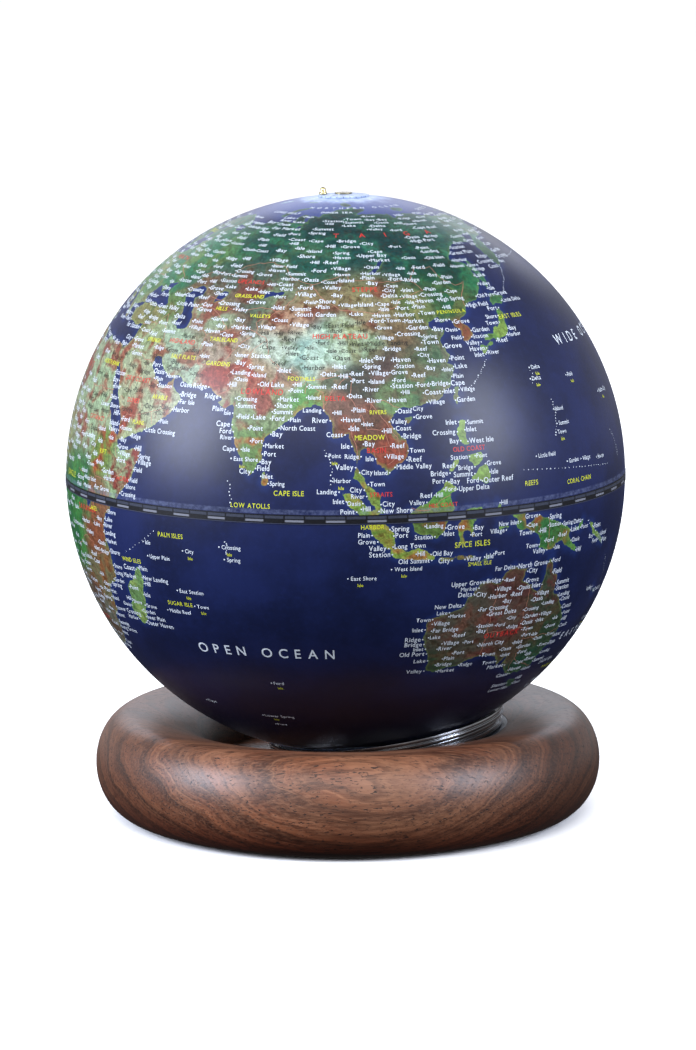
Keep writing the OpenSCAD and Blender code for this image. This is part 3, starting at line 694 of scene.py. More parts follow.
# Land colours: longitude, latitude, reach in degrees, main colour, second colour
COLOURS = [
    (90, 65, 18, "0c3531", "1a5a42"), (118, 63, 16, "0d3633", "1b543e"), (62, 62, 11, "15473b", "2d6b48"),
    (148, 66, 14, "2c574c", "46705a"), (130, 53, 8, "113f30", "267243"), (106, 57, 8, "174a40", "3b7357"),
    (82, 56, 8, "225744", "556e48"), (166, 63, 8, "5a7c68", "7c8868"), (158, 55, 5, "1d4c33", "44703f"),
    (140, 60, 6, "215545", "386f52"), (68, 49, 8, "4c5a46", "6c3c30"), (78, 47, 5, "6f7a58", "7c4232"),
    (52, 49, 6, "4a5a48", "74503c"), (60, 41, 6, "7e4a38", "8c9a74"), (84, 40, 5, "ac8a6a", "7c432c"),
    (87, 45, 4, "8a7850", "6e3524"), (103, 47.5, 7, "807c50", "7c4831"), (104, 42.5, 5, "90805c", "7e4636"),
    (96, 46, 4, "7c6a48", "6b3a2a"), (115, 44, 5, "7c7c48", "566a38"), (88, 33.5, 7, "adc3a8", "88aa96"),
    (97, 36.5, 5, "a8b793", "8f9464"), (82, 34, 4, "b3bda2", "8e8a6a"), (85, 28.3, 2.5, "96603c", "6a5034"),
    (93, 28.3, 2.5, "7f5a3a", "4f5636"), (99, 27, 3.2, "3f3a2c", "26382c"),
    (105, 30.5, 3.8, "62483f", "4a3a34"), (103, 33.5, 3.5, "8fa67c", "6c6a48"),
    (111, 36.5, 5, "6e5a3e", "564c38"), (117, 33, 5, "63644a", "42603f"),
    (113, 26.5, 5.5, "4c6c44", "6c6444"), (108, 24, 3, "6c8a54", "5a5a3c"),
    (126, 46, 6, "205a34", "5c6838"), (121, 50, 4, "1a4c31", "2e683d"),
    (127.5, 37, 2.6, "7a3028", "8a5a34"), (137, 36.5, 5, "4f7c36", "7a9440"),
    (143, 43, 3, "3a6e40", "6a8048"), (78, 27.5, 4.5, "9c8464", "984836"),
    (78, 21.5, 5, "7c8c60", "8c5040"), (77, 14, 4.5, "627f42", "a2602e"), (69, 28, 4, "9c8c6c", "8c3c2c"),
    (89, 24, 3, "578a44", "8c7c40"), (96, 20.5, 4, "725040", "884e3a"), (101, 16.5, 4, "604030", "7c402c"),
    (106, 14, 4, "8c4430", "6a8a58"), (102, 4, 3, "7c9040", "a05c2e"), (101, 0, 5, "6e8f36", "9a8c3c"),
    (114, 4, 3.4, "58923a", "8ca044"), (113, -1.8, 3.8, "7c4a2a", "5a7434"),
    (110, -7.4, 3, "86a040", "b0783e"), (121, -2, 3, "668a36", "98602e"), (123, 12, 7, "7c9c40", "94a850"),
    (128, -2, 4, "6a9040", "8aa04c"), (138, -4.5, 5, "336c34", "96542a"),
    (145, -6.5, 4, "3f6e34", "8c6a30"), (150, -6, 4, "4a8038", "7c9444"), (121, -25, 8, "524c3c", "724e3c"),
    (133, -25, 6.5, "5e4c3c", "6c2e28"), (133, -15, 4.5, "522f2b", "5c4130"),
    (143, -19, 5.5, "5c342c", "3f4a35"), (149, -27, 5, "33482e", "56482f"),
    (146, -36, 4.5, "214c34", "46603c"), (118, -32, 4, "2c4a30", "504e32"),
    (137, -31, 4.5, "5c4a36", "46402e"), (172, -42, 6, "3a6c46", "6a8a58"),
    (55, 32.5, 6, "93a482", "86583c"), (66, 34, 4, "98866c", "7c3a2a"), (46, 24.5, 8, "9ca078", "8f4c36"),
    (46, 16, 4, "9aa070", "8c3f2c"), (42, 33, 4, "8f9a6c", "8c5638"), (34, 39, 5, "807a48", "586438"),
    (44, 42.3, 3, "5c7440", "7c6440"), (46, 6, 6, "8aa070", "7e3226"), (39, 9, 4, "647a30", "98401e"),
    (37.5, 0, 4, "7c5234", "506a34"), (34, -7, 5, "80482c", "647040"), (36, -17, 6, "6c6440", "80502c"),
    (24, -29, 8, "6c6a54", "5c4634"), (22, -2, 9, "1f6030", "3f8038"), (10, 23, 16, "8f9c74", "7c4a38"),
    (29, 22, 8, "93a67a", "8a4a36"), (10, 12, 8, "8c8448", "6c7838"), (-6, 8, 7, "2f7034", "4f8438"),
    (46.7, -19, 6, "66864c", "92a856"), (10, 50, 9, "35703a", "6f8044"), (-4, 40, 4, "84744a", "907040"),
    (16, 64, 7, "2c6044", "5c7054"), (40, 56, 10, "256a44", "58783c"), (14, 43, 4, "70803f", "84744a"),
    (-40, 73, 12, "bccbe0", "a0b4d0"), (-20, 65, 4, "8a9c9c", "b0bcc8"), (0, -84, 24, "c8d4e4", "b0c0da"),
    (180, -84, 20, "c8d4e4", "b0c0da"), (-100, 65, 16, "44705c", "6c7a60"),
    (-95, 53, 12, "1c5a44", "2f7850"), (-112, 42, 7, "8a6a40", "6c4a30"), (-99, 38, 7, "8a8a4c", "6c7840"),
    (-82, 37, 8, "2f7038", "5c8440"), (-103, 24, 5, "a0703e", "84482c"), (-87, 14, 5, "3f7c38", "6c8c40"),
    (-152, 65, 9, "58705c", "847c60"), (-61, -5, 12, "1c6034", "2f7838"), (-76, -3, 4, "84502c", "586a34"),
    (-69, -22, 5, "a0704a", "7c4c34"), (-70, -35, 4, "8a6440", "6c5438"), (-44, -12, 8, "6c7c3a", "9c5c34"),
    (-62, -34, 7, "708a40", "5c7440"), (-69, -46, 5, "846c48", "6c5438"),
]


def unit(lon, lat):
    """Points of the unit sphere, in the globe's own frame."""
    turn, rise = np.radians(np.asarray(lon, float) - FRONT_LON), np.radians(np.asarray(lat, float))
    return np.stack([np.cos(rise) * np.sin(turn), -np.cos(rise) * np.cos(turn), np.sin(rise)], -1)


def side_distance(a, b, px, py):
    """Distance of points from the nearest side a to b of an outline, positive inside it."""
    narrow = np.cos(np.radians(py))
    ux, uy = (b[:, 0] - a[:, 0]) * narrow, b[:, 1] - a[:, 1] + 0 * py
    vx, vy = (px - a[:, 0]) * narrow, py - a[:, 1]
    t = np.clip((vx * ux + vy * uy) / (ux * ux + uy * uy + TINIER), 0, 1)
    far = np.sqrt(np.min((vx - t * ux) ** 2 + (vy - t * uy) ** 2, 1))
    rise = b[:, 1] - a[:, 1]
    crossing = a[:, 0] + (py - a[:, 1]) * (b[:, 0] - a[:, 0]) / np.where(rise == 0, TINY, rise)
    inside = (((a[:, 1] > py) != (b[:, 1] > py)) & (px < crossing)).sum(1) % 2 == 1
    return np.where(inside, far, -far)


def outline_distance(outline, lon, lat):
    """Distance in degrees from one closed coast line, positive inside, COAST_REACH at the most."""
    a = np.array(outline, float)
    b = np.roll(a, -1, 0)
    low, high = a.min(0), a.max(0)
    reach = COAST_REACH / max(NARROWEST, math.cos(math.radians(abs(a[:, 1]).max())))
    distance = np.full(len(lon), -COAST_REACH)
    for x in (lon - 360, lon, lon + 360):
        close = (x > low[0] - reach) & (x < high[0] + reach)
        close &= (lat > low[1] - COAST_REACH) & (lat < high[1] + COAST_REACH)
        near = np.flatnonzero(close)
        for part in np.array_split(near, max(1, len(near) * len(a) // BATCH)):
            distance[part] = np.maximum(distance[part], side_distance(a, b, x[part, None], lat[part, None]))
    return np.clip(distance, -COAST_REACH, COAST_REACH)


def coast_distance(lon, lat):
    """Distance in degrees from the nearest coast, positive on land."""
    lon, lat = np.asarray(lon, float), np.asarray(lat, float)
    land = np.full(len(lon), -COAST_REACH)
    for outline in LANDS.values():
        land = np.maximum(land, outline_distance(outline, lon, lat))
    for outline in WATERS.values():
        land = np.minimum(land, -outline_distance(outline, lon, lat))
    return land


def wrapped(lon):
    """Longitude between -180 and 180."""
    return (lon + 180) % 360 - 180


def land_colours(lon, lat):
    """Main and second land colour at each point, blended from COLOURS."""
    p = unit(lon, lat)
    total = np.zeros(len(p)) + TINY
    main, second = np.zeros((len(p), 3)), np.zeros((len(p), 3))
    for at_lon, at_lat, reach, first, other in COLOURS:
        away = np.arccos(np.clip(p @ unit(at_lon, at_lat), -1, 1)) / math.radians(reach)
        weight = np.exp(-COLOUR_FALL * away ** 2) + COLOUR_FAINT / (1 + away ** 4)
        total += weight
        main += weight[:, None] * np.array(colour(first)[:3]) * LAND_TONE
        second += weight[:, None] * np.array(colour(other)[:3]) * LAND_TONE
    return main / total[:, None], second / total[:, None]


def joined_rows(a, b, count_a, count_b):
    """Faces between two rings of vertices, the second with as many as the first or half as many."""
    if count_a == count_b:
        return [(a + i, a + (i + 1) % count_a, b + (i + 1) % count_b, b + i) for i in range(count_a)]
    faces = []
    for i in range(count_b):
        left, middle, right = a + 2 * i, a + 2 * i + 1, a + (2 * i + 2) % count_a
        here, there = b + i, b + (i + 1) % count_b
        faces += [(left, middle, here), (middle, right, there), (middle, there, here)]
    return faces


def shell_rings(turns):
    """Rings of a half shell, from the seam over the pole and back inside: radius, height, count, mapped."""
    first = math.asin(STRIP_HALF / GLOBE_R)
    last = math.acos(POLE_HOLE / GLOBE_R)
    steps = round((last - first) / (2 * math.pi / turns))
    rings = []
    for k in range(steps + 1):
        rise = first + (last - first) * k / steps
        thinner = sum(rise >= math.radians(lat) for lat in THIN_RINGS)
        rings.append((GLOBE_R * math.cos(rise), GLOBE_R * math.sin(rise), turns // 2 ** thinner, True))
    inner = GLOBE_R - SHELL_WALL
    for k in range(INNER_RINGS, -1, -1):
        rise = math.acos(POLE_HOLE / inner) * k / INNER_RINGS
        rings.append((inner * math.cos(rise), inner * math.sin(rise), turns // 4, False))
    seat = GLOBE_R - SEAM_STEP
    return rings + [(seat, 0.0, turns // 4, False), (seat, STRIP_HALF, turns // 2, False)]


def paint(mesh, lon, lat):
    """Gives the mapped vertices, which come first, their coast distance and land colours."""
    mapped = coast_distance(lon, lat)
    coast = np.full(len(mesh.vertices), -COAST_REACH, np.float32)
    coast[:len(mapped)] = mapped
    mesh.attributes.new("coast", "FLOAT", "POINT").data.foreach_set("value", coast)
    shown = np.flatnonzero(mapped > SEEN_COAST)
    for label, data in zip(("land_main", "land_second"), land_colours(lon[shown], lat[shown])):
        full = np.zeros((len(coast), 4), np.float32)
        full[:, 3] = 1
        full[shown, :3] = data
        mesh.attributes.new(label, "FLOAT_COLOR", "POINT").data.foreach_set("color", full.ravel())


def half_map(name, side, node):
    """Half shell, side 1 north and -1 south: the map outside, moulded plastic inside."""
    rings = shell_rings(640)
    points, starts, lon, lat = [], [], [], []
    for r, h, count, mapped in rings:
        starts.append(sum(len(p) for p in points))
        cosine, sine = circle(count)
        points.append(np.stack([r * sine, -r * cosine, np.full(count, side * h)], 1))
        if mapped:
            lon.append(wrapped(np.degrees(np.arange(count) * 2 * math.pi / count) + FRONT_LON))
            lat.append(np.full(count, side * math.degrees(math.atan2(h, r))))
    faces, inside = [], []
    for k, (r, h, count, mapped) in enumerate(rings):
        to = (k + 1) % len(rings)
        a, b = (k, to) if count >= rings[to][2] else (to, k)
        new = joined_rows(starts[a], starts[b], rings[a][2], rings[b][2])
        flip = (side < 0) != ((a, b) != (k, to))
        faces += [tuple(reversed(f)) for f in new] if flip else new
        inside += [0 if mapped and rings[to][3] else 1] * len(new)
    mesh = new_mesh(name, np.vstack(points) + np.array(GLOBE_C), faces, smooth_angle=40)
    mesh.polygons.foreach_set("material_index", np.array(inside, np.int32))
    paint(mesh, np.concatenate(lon), np.concatenate(lat))
    piece(new_object(name, mesh), "globe", "map_print", MAP, node)
    mesh.materials.append(PLASTIC)


def land_print(s, p, coast):
    """Land: two colours in patches, shaded as relief, with thin dark valleys and a greener shore."""
    patches = s.noise(p, 0.11, 5.0, 0.52, 0.5)
    spots = s.noise(p, 0.42, 4.0, 0.6, 0.3)
    mottle = s.plus(s.times(patches, 0.8), s.times(spots, 0.2))
    main, second = (s.attribute(name, "Color") for name in ("land_main", "land_second"))
    land = s.mix(s.step(mottle, 0.455, 0.595), main, second)
    land = s.tinted(s.step(spots, 0.5, 0.68, 0.0, 0.5), land, "7f9a58")
    slope = s.minus(s.noise(p, *RELIEF), s.noise(s.shifted(p, RELIEF_LIGHT), *RELIEF))
    land = s.tinted(s.step(slope, 0.0, 0.14, 0.0, 0.34), land, "6e5c50")
    land = s.tinted(s.step(slope, 0.0, -0.14, 0.0, 0.55), land, (1.8, 1.85, 1.7, 1.0))
    off_valley = s.math("ABSOLUTE", s.minus(s.noise(p, 0.24, 5.0, 0.62), 0.5))
    valley = s.step(off_valley, 0.0, 0.022, 1.0, 0.0)
    land = s.mix(s.times(valley, 0.6), land, s.mix(0.6, land, "43211a"))
    shore = s.step(coast, 0.0, 0.5, 0.35, 0.0)
    return s.mix(shore, land, s.mix(0.5, land, "8fb45a"))


def sea_print(s, p, coast, lat, fine):
    """Sea: navy, a little lighter over the shelves, violet towards the Arctic, and darker to the south as
    painted shade on the globe's underside.
    """
    deep = s.noise(p, 0.035, 4.0, 0.6)
    sea = s.mix(s.step(deep, 0.35, 0.68), "0d1535", "151f49")
    sea = s.mix(s.step(fine, 0.45, 0.8, 0.0, 0.3), sea, "1d2a5c")
    sea = s.mix(s.times(s.step(coast, -1.8, 0.0), 0.3), sea, "1f3878")
    sea = s.mix(s.step(lat, 66.0, 79.0, 0.0, 0.85), sea, "435289")
    # Painted shade: the sea darker towards the south, the underside of the globe
    return s.mix(s.step(lat, -12.0, -60.0, 0.0, 0.9), sea, "05051c")


def map_print():
    """The map under a satin film: sea, land, a painted sheen as a pale belt above the scale strip, and ice at
    the poles.
    """
    s = Shader("map_print", Specular_IOR_Level=0.34, Coat_Weight=0.0)
    p = s.millimetres(GLOBE_C)
    x, y, z = s.split(p)
    lat = s.times(s.math("ARCSINE", s.over(z, GLOBE_R / MM)), 180 / math.pi)
    ragged = s.scaled(s.noise(p, 0.16, 6.0, 0.62), 2.6, -1.3)
    coast = s.plus(s.attribute("coast", "Fac"), ragged)
    on_land = s.step(coast, -0.07, 0.07)
    fine = s.noise(p, 0.6, 5.0, 0.7)
    tone = s.mix(on_land, sea_print(s, p, coast, lat, fine), land_print(s, p, coast))
    # Painted sheen: a pale grainy belt just above the scale strip, along the seam's edge
    belt = s.times(s.step(z, 1.7, 1.9), s.step(z, 3.0, 3.6, 1.0, 0.0))
    belt = s.times(belt, s.step(fine, 0.3, 0.7))
    tone = s.mix(s.times(belt, 0.3), tone, "7e89ab")
    cap = s.step(s.scaled(s.noise(p, 0.2, 6.0, 0.6), 6.0, lat), 82.2, 87.0)
    ice = s.ramp(s.noise(p, 0.5, 5.0, 0.6), (0.3, "788fba"), (0.5, "9aadd0"), (0.7, "bccbe2"))
    tone = s.mix(cap, tone, ice)
    film = s.noise(p, 1.9, 3.0, 0.6)
    s.bump(s.plus(s.times(film, 0.5), s.times(on_land, 0.15)), 0.4, 0.03 * MM)
    return s.finish(Base_Color=tone, Roughness=s.step(film, 0.3, 0.7, 0.37, 0.43))


MAP = map_print()
half_map("map_north", 1, "north_shell")
half_map("map_south", -1, "south_shell")

# ---- Printing on the map: names, dots and lines, each a thin skin just off the sphere ----

INK_LIFT = 0.04 * MM
DIAL_INK_LIFT = 0.02 * MM
STRIP_LAT = 1.1                             # names keep clear of the scale strip, in degrees
NAMES_SEED = 7
SQUEEZE = 0.88                              # letters are this narrow beside the font's own
INK_SPREAD = 0.008                          # ink runs this far past the font's outlines
NO_SPREAD = "M4"                            # letters whose inner corners the spread would fill
FINE_CAP = 1.88 * MM                        # names with capitals above this get rounder letters
FINE_SPACING = 1.5                          # and so do names spread wider than this
LETTER_GAP = 0.13                           # gaps and the space are shares of the capitals' height
SPACE = 0.3
ROW = 0.95                                  # room for one row of small names, in degrees
TOWN_LATS = (-60, 72)                       # coast towns stand between these latitudes
LINE_PITCH = 0.9                            # border lines have a point about this often, in degrees

PLACES = (
    "Port Bay Cape Town City Lake Hill Isle River Harbor Point Plain Coast Reef Ford Field Grove Bridge "
    "Haven Landing Crossing Village Market Station Valley Spring Shore Island Inlet Delta Ridge Summit "
    "Oasis Garden"
).split()
QUALIFIERS = (
    "North South East West Old New Upper Lower Great Little Far High Long Middle Outer Inner"
).split()
SEA_NAMES = (
    "INNER SEA", "OUTER SEA", "BLUE SEA", "WARM SEA", "COLD SEA", "SOUTH SEA", "EAST SEA", "LONG GULF",
)

# Large names: text, longitude, latitude, capital height in mm, letter spacing, ink
TITLES = [
    ("OPEN OCEAN", 61, -30.2, 3.9, 1.75, "white"), ("WIDE OCEAN", 156, 31, 3.9, 1.9, "white"),
    ("NORTHERN OCEAN", 66, 76.6, 1.6, 2.2, "white"), ("SOUTHERN OCEAN", -150, -58, 3.4, 2.4, "white"),
    ("GREAT OCEAN", -158, -12, 4.0, 2.2, "white"), ("WEST OCEAN", -48, 28, 3.8, 2.2, "white"),
    ("FAR OCEAN", -28, -28, 3.6, 2.2, "white"), ("EASTERN OCEAN", 158, -32, 3.0, 2.0, "white"),
    ("TAIGA", 92, 63.5, 2.5, 5.2, "red"), ("STEPPE", 99, 47.2, 1.9, 1.15, "red"),
    ("HIGH PLATEAU", 89, 36.1, 1.9, 1.1, "red"), ("LOWLAND", 74, 24.2, 2.0, 1.2, "red"),
    ("UPLANDS", 63, 48.8, 1.7, 1.1, "red"), ("OLD COAST", 118.6, 12.4, 1.6, 1.0, "red"),
    ("BASIN", 101, 12.9, 1.7, 1.1, "red"), ("DELTA", 92.5, 23.2, 1.6, 1.1, "red"),
    ("OUTBACK", 128.5, -27.2, 2.0, 1.3, "red"), ("SAVANNA", 27.5, -3.2, 2.0, 1.3, "red"),
    ("DRY COAST", 40.5, 24.6, 1.7, 1.1, "red"), ("HIGHLAND", 50.5, 33.6, 1.7, 1.1, "red"),
    ("HILLS", 60.5, 41.8, 1.5, 1.0, "yellow"), ("TABLELAND", 62.5, 34.8, 1.5, 1.0, "yellow"),
    ("GARDENS", 63.8, 29.6, 1.6, 1.0, "yellow"), ("ARABLE", 51.4, 21.7, 1.5, 1.0, "yellow"),
    ("FOOTHILLS", 84.2, 27.2, 1.4, 1.0, "yellow"), ("MEADOW", 98.6, 15.4, 1.7, 1.0, "yellow"),
    ("RIVERS", 101.8, 20.4, 1.4, 1.0, "yellow"), ("CAPE ISLE", 82.6, 4.6, 1.7, 1.05, "yellow"),
    ("LOW ATOLLS", 73.8, 2.0, 1.6, 1.05, "yellow"), ("HARBOR", 99.6, -1.9, 1.5, 1.0, "yellow"),
    ("SPICE ISLES", 118.4, -6.4, 1.9, 1.1, "yellow"), ("SMALL ISLE", 121.5, -10.4, 1.4, 1.0, "yellow"),
    ("REEFS", 134.6, 4.4, 1.7, 1.05, "yellow"), ("CORAL CHAIN", 146.5, 3.4, 1.6, 1.05, "yellow"),
    ("EAST ISLES", 139.8, 38.6, 1.7, 1.05, "yellow"), ("PENINSULA", 121.6, 41.0, 1.4, 1.25, "yellow"),
    ("PALM ISLES", 56.5, -5.2, 1.6, 1.05, "yellow"), ("WIND ISLES", 44.6, -11.6, 1.5, 1.0, "yellow"),
    ("SUGAR ISLE", 56.2, -19.6, 1.5, 1.05, "yellow"), ("RIFT", 37.2, 9.2, 1.6, 1.1, "yellow"),
    ("JUNGLE", 18, 2.5, 2.0, 1.5, "yellow"), ("DESERT", 4, 24.5, 2.4, 2.6, "red"),
    ("HEATH", 20, 53, 1.9, 1.6, "red"), ("VELDT", 20, -28, 1.9, 1.5, "red"),
    ("PRAIRIE", -108, 40.5, 2.4, 2.2, "red"), ("TUNDRA", -118, 61, 2.4, 2.6, "red"),
    ("RAINFOREST", -70, -8, 2.1, 1.6, "red"), ("PAMPAS", -68, -35.5, 1.9, 1.4, "yellow"),
    ("ICE FIELD", -52, 73, 2.0, 1.6, "red"), ("POLAR LAND", 40, -80, 2.4, 2.4, "red"),
    ("DUNES", 43.6, 20.3, 1.6, 1.05, "red"), ("SPRINGS", 42.2, 33.2, 1.5, 1.0, "yellow"),
    ("SALT FLATS", 53, 30.4, 1.5, 1.0, "yellow"), ("PLAINS", 47.2, 16.2, 1.4, 1.0, "yellow"),
    ("CATARACT", 29.4, 15.4, 1.6, 1.0, "red"), ("NORTH BANK", 26.4, 26.8, 1.6, 1.0, "yellow"),
    ("HORN", 44.4, 4.6, 1.7, 1.1, "red"), ("LAKES", 33.4, -2.6, 1.5, 1.0, "yellow"),
    ("GRASSLAND", 64.5, 45.2, 1.5, 1.0, "yellow"), ("VALLEYS", 71.5, 40.6, 1.4, 1.0, "yellow"),
    ("STRAITS", 101.4, 4.4, 1.5, 1.0, "red"), ("HILL COAST", 113, 1.9, 1.4, 1.0, "red"),
    ("FJORDS", 10, 62, 1.7, 1.3, "yellow"), ("TWIN ISLES", 160, -40.5, 1.7, 1.2, "yellow"),
]
# Where small names are sprinkled: longitudes, latitudes, tries
SPRINKLES = [
    (40, 140, 52, 72, 420), (45, 130, 33, 53, 1200), (68, 92, 9, 34, 900), (92, 124, 18, 44, 1400),
    (92, 110, 8, 20, 420), (34, 62, 12, 40, 600), (8, 52, -34, 16, 1000), (112, 154, -39, -11, 700),
    (94, 150, -10, 8, 700), (117, 127, 5, 20, 240), (-12, 45, 36, 66, 620), (-16, 36, 4, 36, 340),
    (-128, -65, 26, 58, 620), (-165, -60, 56, 72, 260), (-106, -78, 8, 30, 160), (-80, -36, -36, 9, 520),
    (-75, -62, -54, -36, 60), (140, 178, 50, 70, 120),
]
# Coasts that carry town names running out to sea, with tries
COASTS = {
    "asia_europe": 1600, "africa": 560, "australia": 300, "sumatra": 110, "java": 36, "borneo": 60,
    "celebes": 40, "luzon": 30, "mindanao": 26, "visayas": 14, "honshu": 60, "kyushu": 18, "hokkaido": 16,
    "new_guinea": 60, "new_britain": 12, "solomons": 12, "new_caledonia": 6, "madagascar": 44, "ceylon": 12,
    "timor": 10, "flores": 14, "seram": 8, "halmahera": 8, "taiwan": 12, "hainan": 10, "palawan": 8,
    "north_america": 420, "south_america": 320, "britain": 30, "ireland": 12, "iceland": 16,
    "greenland": 60, "north_island": 18, "south_island": 18, "cuba": 18, "hispaniola": 12, "sakhalin": 14,
    "tasmania": 8, "baffin": 24, "newfoundland": 8,
}
# Lone ocean islands: longitude, latitude, whether a second line in yellow follows
ISLETS = [
    (71, -6.5, 1), (72, -9, 0), (62.5, -8, 1), (57.5, -20.5, 1), (63.3, -19.7, 1), (55.5, -21.4, 0),
    (97, -12.2, 1), (105.6, -10.5, 1), (77.5, -37.9, 1), (77.6, -38.9, 0), (70, -49.5, 1), (51.5, -46.4, 0),
    (55.6, -4.7, 0), (52.2, -7.2, 0), (53, -10, 0), (59.6, -16.6, 1), (144.8, 13.5, 1), (145.7, 15.2, 0),
    (145.7, 18.1, 0), (142.2, 27.1, 1), (141.3, 24.8, 1), (154, 24.3, 1), (138.1, 9.5, 0), (147, 7.5, 0),
    (151.8, 7.4, 0), (158.2, 6.9, 0), (166.6, 19.3, 1), (92.8, 12, 1), (93.8, 7.2, 1), (73.5, 11, 1),
    (167.9, -29, 1), (159.1, -31.5, 1), (166.9, -0.5, 0), (177.5, -18, 1), (-171.8, -13.8, 1),
    (-157.8, 21.3, 1), (-155.5, 19.6, 0), (-149.5, -17.6, 1), (-139, -9.5, 0), (-109.3, -27.1, 1),
    (-90.5, -0.5, 1), (-25, 37.8, 1), (-16, 28.2, 1), (-24, 15, 1), (-5.7, -16, 1), (-14.4, -7.9, 0),
    (-12.3, -37.1, 1), (-59, -51.8, 1), (-36.5, -54.4, 1), (72.4, -53, 0), (158.9, -54.6, 0),
    (178.5, -44, 0),
]
# Chains of small islands drawn as dots: first end, last end, how many
CHAINS = [
    ((145.8, 20.5), (144.8, 13.4), 14), ((130.5, 30.2), (124, 24.4), 16), ((146, 44), (155.8, 50.6), 16),
    ((73.2, 7), (73.2, -0.6), 12), ((142.1, 27.5), (141.3, 24.3), 6), ((134.6, 7.6), (163, 5.3), 26),
    ((165, 52.9), (-166, 54), 22), ((168, 11.5), (171, 6), 12), ((166.5, -14), (169.5, -20), 12),
    ((-149, -15), (-136, -21), 18), ((-160, 22), (-155.5, 19.8), 8), ((92.8, 13.5), (93.9, 6.9), 12),
    ((72.3, -5), (72.4, -7.4), 8), ((55.3, -4.3), (46.4, -9.5), 10), ((-61.8, 17), (-61.5, 11), 12),
    ((154, -5), (162, -10.8), 10),
]
# Left ends of the seas' names
SEAS = [
    (64, 15), (86, 13), (112, 13), (123, 33), (133, 40), (150, 54), (128, -9), (132, -13), (150, -17),
    (38, 19), (52, 26.5), (97, 9), (118, 4), (120, -4.5), (155, -38), (35, 34), (5, 40), (-75, 14),
    (-92, 25), (3, 56), (-60, 66), (38, 44), (50, 41), (40, 73), (80, 74), (160, 73), (-140, 72), (12, -30),
    (44, -18),
]
